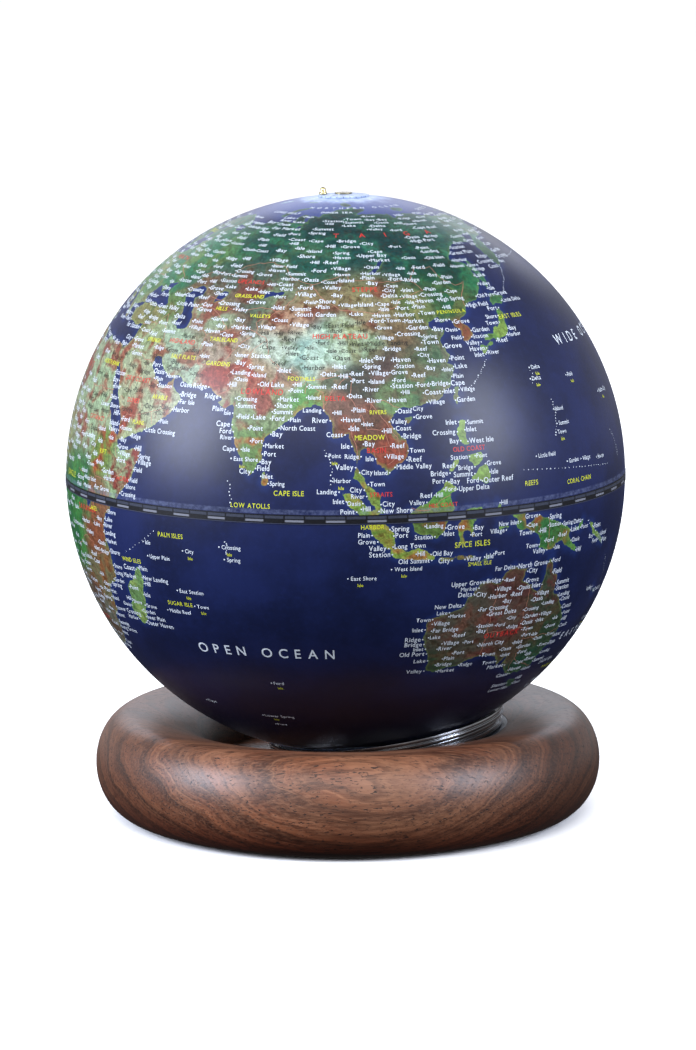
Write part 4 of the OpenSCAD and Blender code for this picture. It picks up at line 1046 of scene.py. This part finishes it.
# Border lines, drawn pale red: open lines of longitude and latitude
BORDERS = [
    [(47, 50), (52, 51.5), (60, 50.8), (62, 53.5), (70, 55), (77, 54), (80, 51), (87, 49), (92, 50.6),
     (98, 52), (98.3, 50.4), (103, 50.2), (107, 49.7), (113, 49.5), (117, 49.7), (120, 53), (126, 53),
     (127.5, 49.8), (131, 47.8), (135, 48.3), (131.2, 45), (130.7, 42.4)], [(87, 49), (91, 45.2),
     (96, 42.8), (105, 41.7), (111, 43.5), (112, 45), (117, 46.5), (120, 47), (117, 49.7)], [(87, 49),
     (83, 47), (82.5, 45.2), (80, 43), (76, 40.5), (74, 39.5), (74.9, 37.2), (78, 35.5), (79, 32.5),
     (81, 30.3), (86, 28), (89, 27.6), (92, 27.8), (97, 28.3), (98.6, 27.5), (97.7, 24), (99, 22),
     (101.7, 21.2), (102.2, 22.5), (105, 23), (108, 21.6)], [(68.2, 23.7), (71, 24.5), (70, 28), (74, 31),
     (74.5, 33), (77.8, 35.5)], [(81, 30), (84, 27.6), (88, 26.5), (88.2, 27.8)], [(61.6, 25.2),
     (62.8, 28.3), (61, 31), (60.6, 34), (61, 36), (66.5, 37.4), (71.2, 38.5), (74.9, 37.2)], [(61, 29.8),
     (66.3, 29.8), (69.3, 31.8), (71, 34.2), (74.5, 37)], [(53.9, 37.3), (57, 38.2), (61, 36)], [(56, 41.3),
     (56, 45), (61, 44.3), (66, 42), (70, 42.4), (74, 43), (80, 42.2)], [(52.5, 42), (58, 42.6), (62, 41),
     (66.5, 37.4)], [(92.3, 21), (93.2, 24), (97, 28.2)], [(88.2, 24.6), (88.4, 26.4), (92, 25.1),
     (92.2, 21.4)], [(100, 20.4), (98, 17.5), (98.8, 14.5), (99.4, 11.6)], [(100.1, 20.3), (101, 17.6),
     (104.7, 17.5), (105.5, 14.4), (102.5, 13.6), (102.7, 11.8)], [(102.2, 22.4), (104.5, 19.7),
     (107.5, 14.8), (107.5, 12.3), (105, 10.5)], [(109.6, 2), (112, 1.2), (115.5, 3), (117.6, 4.2)],
    [(141, -2.6), (141, -9.1)], [(129, -15), (129, -31.6)], [(129, -26), (141, -26)], [(138, -16.5),
     (138, -26)], [(141, -26), (141, -38)], [(141, -29), (149, -29), (153.4, -28.3)], [(141, -34),
     (144.5, -36), (149.9, -37.4)], [(36, 4.4), (41.9, 4), (41, -1.7)], [(33.9, 0), (37.8, -3.4),
     (39.2, -4.7)], [(30.4, -8.3), (33, -9.6), (34.8, -11.6), (40.4, -10.6)], [(25, 22), (37, 22)],
    [(25, 22), (25, 31.6)], [(22.5, 12), (24, 16), (24, 20), (15, 23)], [(35.9, 4.6), (33, 8), (36.5, 14.3),
     (38.4, 18)], [(27.4, 5), (30, 4), (30.5, -1), (29.3, -4.5), (30.7, -8.2), (28.4, -9.2), (24, -11),
     (22, -16)], [(31.3, -22.3), (25.3, -17.8), (21, -18)], [(20, -18), (20, -28.4)], [(32, -26.8),
     (31.3, -22.3), (33, -17), (30, -15)], [(48, 8), (44, 9), (42.8, 11)], [(48, 8), (42, 4)], [(35, 29.4),
     (39, 32.1), (44.7, 29.2), (47.6, 29)], [(43, 17.3), (48, 18.3), (52, 19), (53.1, 16.6)], [(52, 19),
     (55, 20), (55.2, 22.7), (51.6, 24)], [(44.8, 39.7), (48, 34), (46, 32.8), (48, 30)], [(36, 36.7),
     (42.4, 37.2), (44.8, 39.7)], [(42.4, 37.2), (39, 33.3), (35.7, 32.7)], [(28, 69.9), (30, 65),
     (28, 60.6), (27.5, 57.6), (31, 55), (31.5, 52), (39, 49), (38.2, 47)], [(14.2, 54), (15, 51),
     (19, 49.4), (24, 50.5), (24, 54.4)], [(7, 43.8), (7, 47.5), (7.5, 49), (5.8, 51.4), (7, 53.5)],
    [(13.5, 45.7), (16.5, 47.6), (22.5, 48), (28, 48), (28.2, 45.4)], [(-1.8, 43.4), (3.1, 42.5)],
    [(14, 65), (12.5, 61), (11.5, 59)], [(20.5, 69), (24, 66)], [(9.5, 30.3), (9.5, 36)], [(-8.7, 27.6),
     (0, 35)], [(-4.8, 25), (4, 19.2), (12, 23.5), (9.5, 30.3)], [(-123, 49), (-95, 49), (-88, 48.2),
     (-82.5, 43), (-79, 43.3), (-74.7, 45), (-67, 45.3)], [(-117, 32.6), (-106.5, 31.7), (-101, 29.8),
     (-97.3, 26)], [(-141, 69.6), (-141, 60.3), (-131, 55.4)], [(-60, 5), (-64, 2), (-69.9, 0),
     (-69.9, -4.3), (-73, -7.4), (-70.5, -9.5), (-65.3, -10), (-60, -13.8), (-57.8, -19)], [(-57.8, -19),
     (-54.4, -25.5), (-57.5, -30.2), (-53.5, -33.7)], [(-69.5, -17.6), (-67.5, -23), (-69.8, -33),
     (-71.5, -40), (-72, -50), (-68.5, -52.4)], [(-77.8, 7.4), (-72.5, 9), (-67.5, 6.2), (-67.3, 2)],
    [(-80.2, -3.4), (-75.2, -0.2), (-78.8, 1.4)], [(-62, -22), (-57.8, -25)],
]


def tangent(lon, lat):
    """Outward, east and north directions at a point of the globe."""
    up = unit(lon, lat)
    turn = math.radians(lon - FRONT_LON)
    east = np.array([math.cos(turn), math.sin(turn), 0.0])
    return up, east, np.cross(up, east)


def degrees_wide(length, lat):
    return math.degrees(length / (GLOBE_R * math.cos(math.radians(lat))))


def between(a, b, t):
    return a[0] + (b[0] - a[0]) * t, a[1] + (b[1] - a[1]) * t


def side_length(a, b):
    return math.hypot((b[0] - a[0]) * math.cos(math.radians(a[1])), b[1] - a[1])


class Ink:
    """Collects shapes of one colour as a skin that lies just off a sphere about the globe's centre."""

    def __init__(self, radius=GLOBE_R + INK_LIFT):
        self.points, self.faces, self.count = [], [], 0
        self.radius = radius

    def add(self, flat, faces, lon, lat):
        """flat holds (east, north) offsets in metres from the point."""
        up, east, north = tangent(lon, lat)
        p = up + (flat[:, :1] * east + flat[:, 1:] * north) / self.radius
        p *= self.radius / np.linalg.norm(p, axis=1)[:, None]
        self.points.append(p)
        self.faces += [tuple(i + self.count for i in f) for f in faces]
        self.count += len(p)

    def dot(self, lon, lat, radius, sides=12):
        self.add(np.stack(circle(sides), 1) * radius, [tuple(range(sides))], lon, lat)

    def line(self, knots, width, wobble):
        """A ribbon through (longitude, latitude) knots, wavering by wobble degrees."""
        path = []
        for a, b in zip(knots, knots[1:]):
            steps = max(2, int(side_length(a, b) / LINE_PITCH))
            path += [between(a, b, k / steps) for k in range(steps)]
        path.append(knots[-1])
        path = np.array(path) + chance_field(len(path)) * wobble
        middle = unit(path[:, 0], path[:, 1])
        side = np.cross(middle, np.gradient(middle, axis=0))
        side /= np.linalg.norm(side, axis=1)[:, None]
        self.points += [(middle + side * k * width / 2 / self.radius) * self.radius for k in (-1, 1)]
        n = len(path)
        for here in range(self.count, self.count + n - 1):
            self.faces.append((here + 1, here + n + 1, here + n, here))
        self.count += 2 * n

    def build(self, name, body, slot, material):
        points = np.vstack(self.points) + np.array(GLOBE_C)
        return piece(new_object(name, new_mesh(name, points, self.faces)), body, slot, material)


def glyphs(letters, steps):
    """Letters of Blender's own font as (points, faces, width), at a capital height of 1."""
    drawn = {}
    for letter in letters:
        curve = bpy.data.curves.new("glyph", "FONT")
        curve.body, curve.resolution_u, curve.fill_mode = letter, steps, "FRONT"
        curve.offset = 0.0 if letter in NO_SPREAD else INK_SPREAD
        obj = new_object("glyph", curve)
        mesh = bpy.data.meshes.new_from_object(obj.evaluated_get(bpy.context.evaluated_depsgraph_get()))
        flat = np.array([v.co[:2] for v in mesh.vertices]).reshape(-1, 2)
        drawn[letter] = (flat, [tuple(f.vertices) for f in mesh.polygons])
        bpy.data.objects.remove(obj)
        bpy.data.meshes.remove(mesh)
        bpy.data.curves.remove(curve)
    cap = drawn["H"][0][:, 1].max()
    shapes = {" ": (np.zeros((0, 2)), [], SPACE)}
    for letter, (flat, faces) in drawn.items():
        left, right = flat[:, 0].min(), flat[:, 0].max()
        shapes[letter] = ((flat - (left, 0)) / cap * (SQUEEZE, 1), faces, (right - left) / cap * SQUEEZE)
    return shapes


TEXTS = PLACES + QUALIFIERS + list(SEA_NAMES) + [title[0] for title in TITLES]
LETTERS = sorted(set("".join(TEXTS)) - {" "}) + list("0123456789")
GLYPHS = glyphs(LETTERS, steps=3)
FINE_GLYPHS = glyphs(LETTERS, steps=7)


def advance(width, spacing):
    """From the start of a letter to the start of the next, in capital heights."""
    return width + LETTER_GAP * (1 + 5 * (spacing - 1))


def text_width(text, cap, spacing=1.0):
    return sum(advance(GLYPHS[letter][2], spacing) * cap for letter in text)


def write(ink, text, lon, lat, cap, spacing=1.0):
    """Writes along the parallel from its left end; cap is the height of its capitals in metres."""
    shapes = FINE_GLYPHS if cap > FINE_CAP or spacing > FINE_SPACING else GLYPHS
    for letter in text:
        flat, faces, width = shapes[letter]
        if len(flat):
            middle = lon + degrees_wide(width * cap / 2, lat)
            ink.add((flat - (width / 2, 0)) * cap, faces, middle, lat)
        lon += degrees_wide(advance(width, spacing) * cap, lat)


class Places:
    """Remembers the room that names take, in degrees, so that they don't cross."""

    def __init__(self):
        self.boxes = np.zeros((0, 4))

    def take(self, lon, lat, width, height, beside=0.15, above=0.12):
        if -STRIP_LAT - height < lat < STRIP_LAT:
            return False
        west, south, east, north = lon, lat - above, lon + width + beside, lat + height + above
        b = self.boxes
        if ((b[:, 0] < east) & (b[:, 2] > west) & (b[:, 1] < north) & (b[:, 3] > south)).any():
            return False
        self.boxes = np.vstack([b, (west, south, east, north)])
        return True


chance = random.Random(NAMES_SEED)
room = Places()
inks = {name: Ink() for name in ("white_north", "white_south", "black", "yellow", "red")}


def white(lat):
    return inks["white_north" if lat >= 0 else "white_south"]


def chance_field(n):
    """Pairs of numbers between -1 and 1 for each point of a line, zero at both ends."""
    raw = np.array([(chance.uniform(-1, 1), chance.uniform(-1, 1)) for _ in range(n)])
    raw[0] = raw[-1] = 0
    return raw


def a_name():
    """A place, three times in ten with a word before it."""
    word = chance.choice(PLACES)
    if chance.random() < 0.3:
        word = chance.choice(QUALIFIERS) + " " + word
    return word


def town_name(longer):
    """A place; longer is the share that may have a word before them."""
    return a_name() if chance.random() < longer else chance.choice(PLACES)


def print_titles():
    for text, lon, lat, cap, spacing, tone in TITLES:
        cap *= MM
        wide = degrees_wide(text_width(text, cap, spacing), lat)
        room.take(lon, lat, wide, math.degrees(cap / GLOBE_R))
        write(white(lat) if tone == "white" else inks[tone], text, lon, lat, cap, spacing)


def print_islets(cap=1.45 * MM, aside=0.6, below=1.35):
    """Lone islands: a dot with a name beside it, and on some a smaller second line."""
    for lon, lat, second in ISLETS:
        name = a_name()
        wide = degrees_wide(text_width(name, cap), lat)
        if room.take(lon + 0.5, lat, wide, 0.9):
            write(white(lat), name, lon + aside, lat, cap)
            white(lat).dot(lon, lat + 0.4, 0.28 * MM)
            if second:
                write(inks["yellow"], "Isle", lon + aside + wide / 4, lat - below, cap * 0.8)


def print_chains():
    """Island chains as rows of dots that sway by half a degree."""
    for first, last, count in CHAINS:
        if last[0] - first[0] < -180:
            last = (last[0] + 360, last[1])
        for k in range(count):
            t = k / (count - 1)
            lon, lat = between(first, last, t)
            lon = lon + 0.5 * math.sin(3.0 * t) + chance.uniform(-0.25, 0.25)
            white(first[1]).dot(lon, lat, chance.uniform(0.12, 0.26) * MM, 8)


def print_coast_towns(reach=2.4, gap=0.55 * MM, below=0.4):
    """Towns on the coasts, with names that run out to sea, to the side that is less inland."""
    for land, tries in COASTS.items():
        outline = LANDS[land]
        sides = list(zip(outline, outline[1:] + outline[:1]))
        picks = chance.choices(sides, [side_length(a, b) for a, b in sides], k=tries)
        spots = [between(a, b, chance.random()) for a, b in picks]
        spots = [spot for spot in spots if TOWN_LATS[0] < spot[1] < TOWN_LATS[1]]
        lon, lat = np.array(spots).T
        aside = np.array([reach / math.cos(math.radians(y)) for x, y in spots])
        east, west = (coast_distance(wrapped(lon + way * aside), lat) for way in (1, -1))
        for (x, y), e, w in zip(spots, east, west):
            cap = chance.uniform(1.5, 1.85) * MM
            name = town_name(0.4)
            wide = degrees_wide(text_width(name, cap), y)
            off = degrees_wide(gap, y)
            start = x + off if e < w else x - off - wide
            if min(e, w) < 0.4 and room.take(start, y - below, wide, ROW):
                write(white(y), name, start, y - below, cap)
                white(y).dot(x, y, 0.27 * MM)


def print_inland_towns(gap=0.5 * MM, pale=0.24):
    """Names sprinkled over the land, black on pale ground and white on dark."""
    for west, east, south, north, tries in SPRINKLES:
        spots = np.array([(chance.uniform(west, east), chance.uniform(south, north)) for _ in range(tries)])
        lon, lat = spots.T
        inland = coast_distance(wrapped(lon), lat)
        brightness = land_colours(lon, lat)[0] @ np.array([0.3, 0.6, 0.1])
        for (x, y), far, light in zip(spots, inland, brightness):
            if far < 0.5 or chance.random() < 0.12:
                continue
            cap = chance.uniform(1.45, 1.8) * MM
            name = town_name(0.35)
            if room.take(x, y, degrees_wide(text_width(name, cap), y), ROW, beside=0.4):
                ink = inks["black"] if light > pale else white(y)
                write(ink, name, x, y, cap)
                ink.dot(x - degrees_wide(gap, y), y + 0.4, 0.25 * MM)


def print_sea_names(cap=1.6 * MM, spacing=1.15):
    """Names of smaller seas where room is left."""
    for k, (lon, lat) in enumerate(SEAS):
        name = SEA_NAMES[k % len(SEA_NAMES)]
        wide = degrees_wide(text_width(name, cap, spacing), lat)
        if room.take(lon, lat, wide, 0.9, beside=0.1, above=0.05):
            write(white(lat), name, lon, lat, cap, spacing)


def print_borders():
    """Border lines, half as far off the map as the names."""
    border = Ink(GLOBE_R + INK_LIFT / 2)
    for knots in BORDERS:
        border.line(knots, 0.17 * MM, 0.28)
    border.build("border_lines", "globe", "map_print", printed("ink_border", "a8705c"))


def print_hours(ring=6.4 * MM, cap=1.15 * MM):
    """Numerals 2 to 24 round the hour dial, each upright as seen from outside."""
    numerals = Ink(dial_high.z - GLOBE_C.z + DIAL_INK_LIFT)
    ring_lat = 90 - math.degrees(ring / GLOBE_R)
    for hour in range(2, HOURS + 1, 2):
        text = str(hour)
        at = -(text_width(text, cap) - LETTER_GAP * cap) / 2
        for digit in text:
            flat, faces, wide = FINE_GLYPHS[digit]
            numerals.add(flat * cap + (at, -cap / 2), faces, FRONT_LON + hour * 360 / HOURS, ring_lat)
            at += (wide + LETTER_GAP) * cap
    numerals.build("hour_numerals", "hour_dial", "dial_print", BLACK_INK)


WHITE_INK = printed("ink_white", "d6dfe8")
BLACK_INK = printed("ink_black", "12140f")
INK_MATERIALS = {
    "white_north": WHITE_INK, "white_south": WHITE_INK, "black": BLACK_INK,
    "yellow": printed("ink_yellow", "c9cf2e"), "red": printed("ink_red", "c4302a"),
}

print_titles()
print_islets()
print_chains()
print_coast_towns()
print_inland_towns()
print_sea_names()
for ink_name, ink_material in INK_MATERIALS.items():
    inks[ink_name].build("names_" + ink_name, "globe", "map_print", ink_material)
print_borders()
print_hours()

# ---- Wooden ring ----

BORE_R = 43.4 * MM                          # the inclined bore for the bearing
BORE_TOP = 60 * MM                          # depths in it are below the globe's centre, along its axis
BORE_FLOOR = 107 * MM
NUT_POCKET_R = 5.6 * MM
NUT_POCKET_FLOOR = 111.6 * MM
CREST_IN = 13 * MM                          # the crest lies this far inside the outer edge
DISH_ROUND = 29.5 * MM
FOOT_COUNT = 4
FOOT_R = 7 * MM
FOOT_REACH = 66 * MM                        # from the middle to each foot
OVERLAP = 0.1 * MM                          # cutters that meet run this far into each other
CORE_R = 0.4 * MM                           # the ring's outline starts this far from its axis
UNDER = 1 * MM                              # cutters start this far under the table
CUTTER_SIDES = 48


def wooden_ring():
    crest_r = wood_high.x - CREST_IN
    middle = (wood_low.z + wood_high.z) / 2
    half = wood_high.z - middle
    steps = 56
    outline = [(CORE_R, wood_low.z), (crest_r * 0.5, wood_low.z)]
    outline += arc(crest_r, middle, CREST_IN, half, -89, 90, steps)
    outline += arc(crest_r, middle, DISH_ROUND, half, 90, 180, steps)[1:]
    outline += [(crest_r * 0.5, middle), (CORE_R, middle)]
    ring = lathe("walnut_ring", outline, turns=288)
    cutters = [
        plug("bore", BORE_R, -BORE_FLOOR, -BORE_TOP, COLLAR),
        plug("nut_pocket", NUT_POCKET_R, -NUT_POCKET_FLOOR, -BORE_FLOOR + OVERLAP, COLLAR, CUTTER_SIDES),
    ]
    for k in range(FOOT_COUNT):
        turn = math.radians(45 + 360 / FOOT_COUNT * k)
        at = Matrix.Translation((FOOT_REACH * math.cos(turn), FOOT_REACH * math.sin(turn), 0))
        cutters.append(plug(f"foot_recess_{k}", FOOT_R, -UNDER, feet_high.z, at, CUTTER_SIDES))
    cut(ring, cutters)
    piece(ring, "base", "walnut", WALNUT, "base_ring")


wooden_ring()

# ---- Collar: three turned rings about the inclined axis ----
# Their outlines are closed lists of radius and of depth below the globe's centre, both in millimetres.

COLLAR_EASE = 0.2 * MM                      # radius of their edges
COLLAR_TURNS = 224
COLLAR_SHARP_FROM = 24                      # degrees
PAD_DEPTH = 101.35                          # from the globe's centre to the middle of the pad
PAD_ANGLE = math.radians(22)                # from the collar's axis to the pad
PAD_GROOVE = 1.32                           # radius of the groove in which the pad sits
GROOVE_STEPS = 14
CONE_OUTER = Vector((43, 91.3))             # the cradle's cone
CONE_INNER = Vector((35.5, 94.7))


def pad_groove():
    """The cradle's cone with the groove in which the pad sits, outer edge to inner edge."""
    pad = Vector((PAD_DEPTH * math.sin(PAD_ANGLE), PAD_DEPTH * math.cos(PAD_ANGLE)))
    along = (CONE_INNER - CONE_OUTER).normalized()
    foot = CONE_OUTER + along * (pad - CONE_OUTER).dot(along)
    reach = math.sqrt(PAD_GROOVE ** 2 - (pad - foot).length ** 2)
    first, last = (math.atan2(*(foot + along * way * reach - pad).yx) for way in (-1, 1))
    turns = [first + (last - first) * k / GROOVE_STEPS for k in range(GROOVE_STEPS + 1)]
    groove = [tuple(pad + Vector((math.cos(a), math.sin(a))) * PAD_GROOVE) for a in turns]
    return [tuple(CONE_OUTER)] + groove + [tuple(CONE_INNER)]


CRADLE_RIM = [
    (40, 94), (43, 94), (43, 93), (42.4, 92.95), (42.4, 92.55), (43, 92.5), *pad_groove(), (35.5, 96.5),
    (40, 96.5),
]
TURNTABLE_RING = [
    (3, 104.2), (3, 102.6), (31, 102.6), (31, 96.5), (40, 96.5), (40, 94), (40.4, 94), (40.4, 94.6),
    (41.6, 94.6), (41.6, 95.7), (40.9, 95.8), (40.9, 96.3), (41.6, 96.4), (41.6, 98), (33.6, 98),
    (33.6, 103.8), (31, 104.2),
]
BEARING_CUP = [(3, 107), (3, 105), (40, 105), (40, 98.6), (43.4, 98.6), (43.4, 107)]


def collar_part(name, outline, body, material, node):
    profile = eased([(r * MM, -depth * MM) for r, depth in outline], COLLAR_EASE)
    ring = lathe(name, profile, COLLAR, COLLAR_TURNS, COLLAR_SHARP_FROM)
    piece(ring, body, "collar_metal", material, node)


collar_part("cradle_rim", CRADLE_RIM, "turntable", POLISHED, "cradle_ring")
collar_part("turntable_ring", TURNTABLE_RING, "turntable", POLISHED, "turntable")
collar_part("bearing_cup", BEARING_CUP, "base", SHADE_DARK_SATIN, "bearing_seat")

# ---- Hour dial's knob and the finishes of the CAD parts that show as they are ----

KNOB_STEM = 0.5                             # radius of the stem as a share of the knob's
KNOB_TIP = 0.01 * MM
# Knob's outline above its stem, as shares of its radius and of its height
KNOB_BELL = [
    (0.97, 0.2), (1.0, 0.23), (1.0, 0.29), (0.95, 0.32), (0.85, 0.37), (0.78, 0.46), (0.74, 0.58),
    (0.69, 0.71), (0.6, 0.84), (0.46, 0.93), (0.3, 0.98), (0.14, 0.998),
]


def turned_knob():
    """Bell-shaped knob with a rim at its foot, as tall and as wide as the CAD knob, on a thin stem."""
    r = (knob_high.x - knob_low.x) / 2
    low, rise = knob_low.z, knob_high.z - knob_low.z
    outline = [(KNOB_TIP, low), (r * KNOB_STEM, low), (r * KNOB_STEM, low + rise * KNOB_BELL[0][1])]
    outline += [(r * across, low + rise * up) for across, up in KNOB_BELL]
    outline.append((KNOB_TIP, knob_high.z))
    at = Matrix.Translation(((knob_low.x + knob_high.x) / 2, 0, 0))
    knob = lathe("hour_knob", outline, at, turns=48, smooth_angle=40)
    piece(knob, "hour_dial", "brass", BRASS, "dial_knob")


turned_knob()

FINISHES = {
    "rubber_feet": RUBBER, "cradle_pad": RUBBER, "seat_screws": STEEL, "lower_race": STEEL,
    "bearing_balls": STEEL, "pivot_bolt": STEEL, "pivot_nut": STEEL, "upper_race": STEEL, "axis_rod": STEEL,
    "ball_cage": BRASS, "thrust_washer": BRASS, "pole_screws": PALE_BRASS, "joining_ring": PLASTIC,
    "pole_bushes": PLASTIC, "equator_strip": scale_print(), "hour_dial": dial_print(),
}
for node_name, finish in FINISHES.items():
    mesh = frame["nodes"][node_name].data
    mesh.materials.clear()
    mesh.materials.append(finish)

# ---- Floor, light and camera ----

FLOOR_HALF = 30.0
FLOOR_POWER = 2.5
FLOOR_SPREAD = math.radians(110)
# Soft boxes: name, azimuth, elevation, distance, width, height, power, tone; azimuth 90 is +X
SOFTBOXES = [
    ("key_right", 60, 23, 1.5, 0.56, 0.76, 25, "e6edff"),
    ("fill_left", -69, 22, 1.5, 0.78, 0.78, 40, "e6edff"),
    ("front_top", -8, 42, 1.8, 1.5, 0.9, 17.5, "ffffff"),
    ("behind", 180, 22, 2.0, 1.8, 0.6, 9, "eef2ff"),
]
# Brightness of the room from straight down (0) over the horizon (0.5) to straight up (1)
ROOM_TONES = [(0.0, 0.03), (0.42, 0.05), (0.5, 0.5), (0.58, 0.42), (1.0, 0.3)]
ROOM_BLUE = 1.02                            # the room's blue beside its red and green
CAMERA_DISTANCE = 1.6
CAMERA_LENS = 153.1
CAMERA_ELEVATION, CAMERA_DIP, CAMERA_PAN, CAMERA_ROLL = (math.radians(a) for a in (9, 0.66, 0.026, 0.45))


def floor():
    """Pale floor that takes light and shadow, but throws none back on the object."""
    corners = [(x * FLOOR_HALF, y * FLOOR_HALF, 0) for x, y in ((-1, -1), (1, -1), (1, 1), (-1, 1))]
    mesh = new_mesh("floor", corners, [(0, 1, 2, 3)])
    ground = new_object("floor", mesh)
    s = Shader("floor_pale", Roughness=0.9, Specular_IOR_Level=0.0)
    dust = s.step(s.noise(s.place, 3.0, 3.0), 0.3, 0.7)
    mesh.materials.append(s.finish(Base_Color=s.mix(dust, "f1f1f2", "f4f4f4")))
    ground.visible_diffuse = ground.visible_glossy = False
    return ground


def softbox(name, azimuth, elevation, distance, width, height, power, tone):
    """A soft area light that faces the globe; azimuth 0 is the camera's side."""
    a, e = math.radians(azimuth), math.radians(elevation)
    way = Vector((math.sin(a) * math.cos(e), -math.cos(a) * math.cos(e), math.sin(e)))
    light = bpy.data.lights.new(name, "AREA")
    light.shape, light.size, light.size_y, light.energy = "RECTANGLE", width, height, power
    light.color = colour(tone)[:3]
    obj = new_object(name, light)
    obj.location = GLOBE_C + way * distance
    obj.rotation_euler = way.to_track_quat("Z", "Y").to_euler()


def floor_light(ground):
    """A broad light from above that falls on the floor alone, so the floor stays pale and even."""
    sun = bpy.data.lights.new("floor_light", "SUN")
    sun.energy, sun.angle = FLOOR_POWER, FLOOR_SPREAD
    only = bpy.data.collections.new("floor_only")
    only.objects.link(ground)
    new_object("floor_light", sun).light_linking.receiver_collection = only


def room_light():
    """A grey room: dark below the horizon, lightest at it and a middle grey above."""
    world = bpy.data.worlds.new("studio")
    bpy.context.scene.world = world
    world.use_nodes = True
    tree = world.node_tree
    background = tree.nodes["Background"]
    background.inputs["Strength"].default_value = 1.0
    way, split, spread, ramp = (tree.nodes.new("ShaderNode" + kind) for kind in (
        "TexCoord", "SeparateXYZ", "Math", "ValToRGB"))
    spread.operation = "MULTIPLY_ADD"
    spread.inputs[1].default_value = spread.inputs[2].default_value = 0.5
    tree.links.new(way.outputs["Generated"], split.inputs[0])
    tree.links.new(split.outputs["Z"], spread.inputs[0])
    tree.links.new(spread.outputs[0], ramp.inputs[0])
    tree.links.new(ramp.outputs[0], background.inputs["Color"])
    marks = ramp.color_ramp.elements
    while len(marks) < len(ROOM_TONES):
        marks.new(0.5)
    for mark, (position, grey) in zip(marks, ROOM_TONES):
        mark.position, mark.color = position, (grey, grey, grey * ROOM_BLUE, 1)


def camera():
    """Long lens, nine degrees above the globe's centre, aimed a little below it."""
    cam = new_object("camera", bpy.data.cameras.new("camera"))
    cam.data.sensor_width, cam.data.lens, cam.data.clip_end = 36, CAMERA_LENS, 100
    way = Vector((0, -math.cos(CAMERA_ELEVATION), math.sin(CAMERA_ELEVATION)))
    tilt = Matrix.Rotation(math.pi / 2 - CAMERA_ELEVATION - CAMERA_DIP, 4, "X")
    aim = Matrix.Rotation(-CAMERA_PAN, 4, "Z") @ tilt @ Matrix.Rotation(-CAMERA_ROLL, 4, "Z")
    cam.matrix_world = Matrix.Translation(GLOBE_C + way * CAMERA_DISTANCE) @ aim
    bpy.context.scene.camera = cam


floor_light(floor())
room_light()
for row in SOFTBOXES:
    softbox(*row)
bpy.data.objects["behind"].visible_camera = False
camera()
bpy.context.scene.view_settings.view_transform = "Standard"

bpy.context.view_layer.update()
